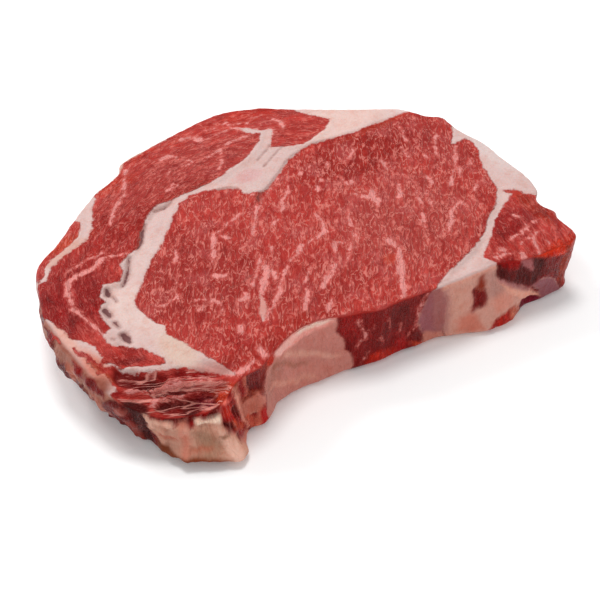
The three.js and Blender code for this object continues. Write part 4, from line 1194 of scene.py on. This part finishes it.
def meat_material():
    """Lean with its grain, fat, veins and cut vessels, told apart by the mesh's tissue layers."""
    nodes = Nodes("raw_beef")
    place = nodes.add("ShaderNodeTexCoord").outputs["Object"]
    in_mm = nodes.times(place, (1 / MM,) * 3)
    fibres = nodes.attribute("fibres", "Vector")
    torn, calm = nodes.attribute("torn"), nodes.attribute("calm")
    noises = {name: nodes.noise(in_mm, *kind) for name, kind in NOISES.items()}
    for name, ((along, across), *kind) in FIBRE_NOISES.items():
        noises[name] = nodes.noise(nodes.times(fibres, (along, across, 1)), 1.0, *kind)

    # Wobbles move the edges of fat, veins and dark lines. Strands and worms are flat where fibres turn.
    broad_wobble = nodes.math("SUBTRACT", noises["broad_wobble"], 0.5)
    wobble = nodes.math("SUBTRACT", noises["wobble"], 0.5)
    wobble = nodes.math("MULTIPLY_ADD", broad_wobble, 1.4, wobble)
    strand_wobble = nodes.math("MULTIPLY", nodes.math("SUBTRACT", noises["strands"], 0.5), calm)
    strands = nodes.math("ADD", strand_wobble, 0.5)
    worms = nodes.math("SUBTRACT", nodes.ridge(noises["worms"]), 0.06)
    worms = nodes.math("MULTIPLY_ADD", worms, calm, 0.06)
    strings = nodes.ramp(nodes.ridge(noises["strings"]), 0.05, 0.005, 0, 0.9)
    strings = nodes.math("MULTIPLY", strings, nodes.ramp(torn, 0.3, 1))
    strings = nodes.math("MULTIPLY", strings, calm)

    fat_share = nodes.ramp(nodes.math("MULTIPLY_ADD", wobble, 1.4, nodes.attribute("fat")), -0.4, 0.5)
    vein_edge = nodes.math("MULTIPLY_ADD", wobble, 2.1, nodes.attribute("vein"))
    vein_edge = nodes.math("MULTIPLY_ADD", strand_wobble, 3.0, vein_edge)
    dark_edge = nodes.math("MULTIPLY_ADD", wobble, 0.8, nodes.attribute("dark"))

    colour = lean_colour(nodes, noises, worms, strings)
    colour = nodes.laid(nodes.ramp(vein_edge, -0.9, 0.2, 0, 0.6), colour, VEIN_EDGE_TINT)
    colour = nodes.laid(nodes.ramp(vein_edge, -0.1, 0.75, 0, 0.95), colour, VEIN_TINT)
    colour = nodes.mix(fat_share, colour, fat_colour(nodes, noises, strands, strings))
    # Painted shadow along the seams, and the cut vessels.
    colour = nodes.laid(nodes.ramp(dark_edge, -0.7, 0.5, 0, 0.5), colour, DARK_EDGE_TINT)
    colour = nodes.laid(nodes.ramp(dark_edge, 0.3, 0.75, 0, 0.85), colour, DARK_TINT)
    roughness = nodes.ramp(noises["gloss"], 0.35, 0.65, 0.24, 0.42)
    roughness = nodes.math("MULTIPLY_ADD", fat_share, 0.12, roughness)

    smoothed = nodes.math("MULTIPLY", fat_share, nodes.math("SUBTRACT", 1, torn))
    grain = nodes.math("MULTIPLY_ADD", strands, 0.8, nodes.ramp(worms, 0.1, 0, 0, 0.5))
    grain = nodes.math("MULTIPLY", grain, nodes.math("SUBTRACT", 1, smoothed))
    grain = nodes.math("MULTIPLY_ADD", noises["flecks"], 0.45, grain)
    height = nodes.math("MULTIPLY_ADD", strings, 0.4, grain)
    bump = nodes.add("ShaderNodeBump", {"Height": height, **BUMP}).outputs[0]
    nodes.feed(nodes.shader, {"Base Color": colour, "Roughness": roughness, "Normal": bump, **GLOSS})
    return nodes.material


# ---- Floor, light and camera ----

VIEW_RISE = math.radians(45)        # the camera's height over the floor, as an angle
VIEW_TURN = math.radians(-35)       # and how far it is turned round the steak
VIEW_ANGLE = math.radians(26)       # what the frame's width takes in
VIEW_DISTANCE = 485.1               # from the point that it looks at, mm
VIEW_TARGET = (2, -16, 0)           # that point, where the slice was drawn
SENSOR = 36                         # mm across
FLOOR_SIZE = 6                      # m
FLOOR_LOOKS = {
    "Base Color": (0.93, 0.93, 0.93, 1), "Roughness": 0.9, "Specular IOR Level": 0.1,
    "Emission Color": (1, 1, 1, 1), "Emission Strength": 0.07,      # so that it stays white
}
SKY = {"Color": (1, 1, 1, 1), "Strength": 0.64}
# Lamps that face the floor's middle: name, place and size in m, and power in W.
LAMPS = (("key", (0.1, 0.35, 1.4), 0.5, 9), ("back", (-0.3, 1.0, 0.9), 0.4, 7))


def build_floor():
    bpy.ops.mesh.primitive_plane_add(size=FLOOR_SIZE)
    floor = bpy.context.object
    floor.name = "floor"
    nodes = Nodes("white_floor")
    nodes.feed(nodes.shader, FLOOR_LOOKS)
    floor.data.materials.append(nodes.material)


def build_lights():
    world = bpy.data.worlds.new("studio")
    world.use_nodes = True
    for name, value in SKY.items():
        world.node_tree.nodes["Background"].inputs[name].default_value = value
    bpy.context.scene.world = world
    for name, place, size, power in LAMPS:
        light = bpy.data.lights.new(name, "AREA")
        light.shape = "DISK"
        light.size = size
        light.energy = power
        lamp = bpy.data.objects.new(name, light)
        lamp.location = place
        lamp.rotation_euler = (-Vector(place)).to_track_quat("-Z", "Y").to_euler()
        bpy.context.scene.collection.objects.link(lamp)


def build_camera(shift):
    lens = bpy.data.cameras.new("camera")
    lens.sensor_width = SENSOR
    lens.lens = SENSOR / 2 / math.tan(VIEW_ANGLE / 2)
    lens.clip_start = 0.01
    camera = bpy.data.objects.new("camera", lens)
    back = Vector((math.sin(VIEW_TURN) * math.cos(VIEW_RISE), -math.cos(VIEW_TURN) * math.cos(VIEW_RISE),
                   math.sin(VIEW_RISE)))
    camera.location = Vector(np.add(VIEW_TARGET, shift)) * MM + back * VIEW_DISTANCE * MM
    camera.rotation_euler = back.to_track_quat("Z", "Y").to_euler()
    bpy.context.scene.collection.objects.link(camera)
    bpy.context.scene.camera = camera


steak, drawn_to_frame = build_steak()
steak.data.materials.append(meat_material())
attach(steak, "root")
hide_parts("steak")

build_floor()
build_lights()
build_camera(drawn_to_frame)
bpy.context.scene.view_settings.view_transform = "Standard"
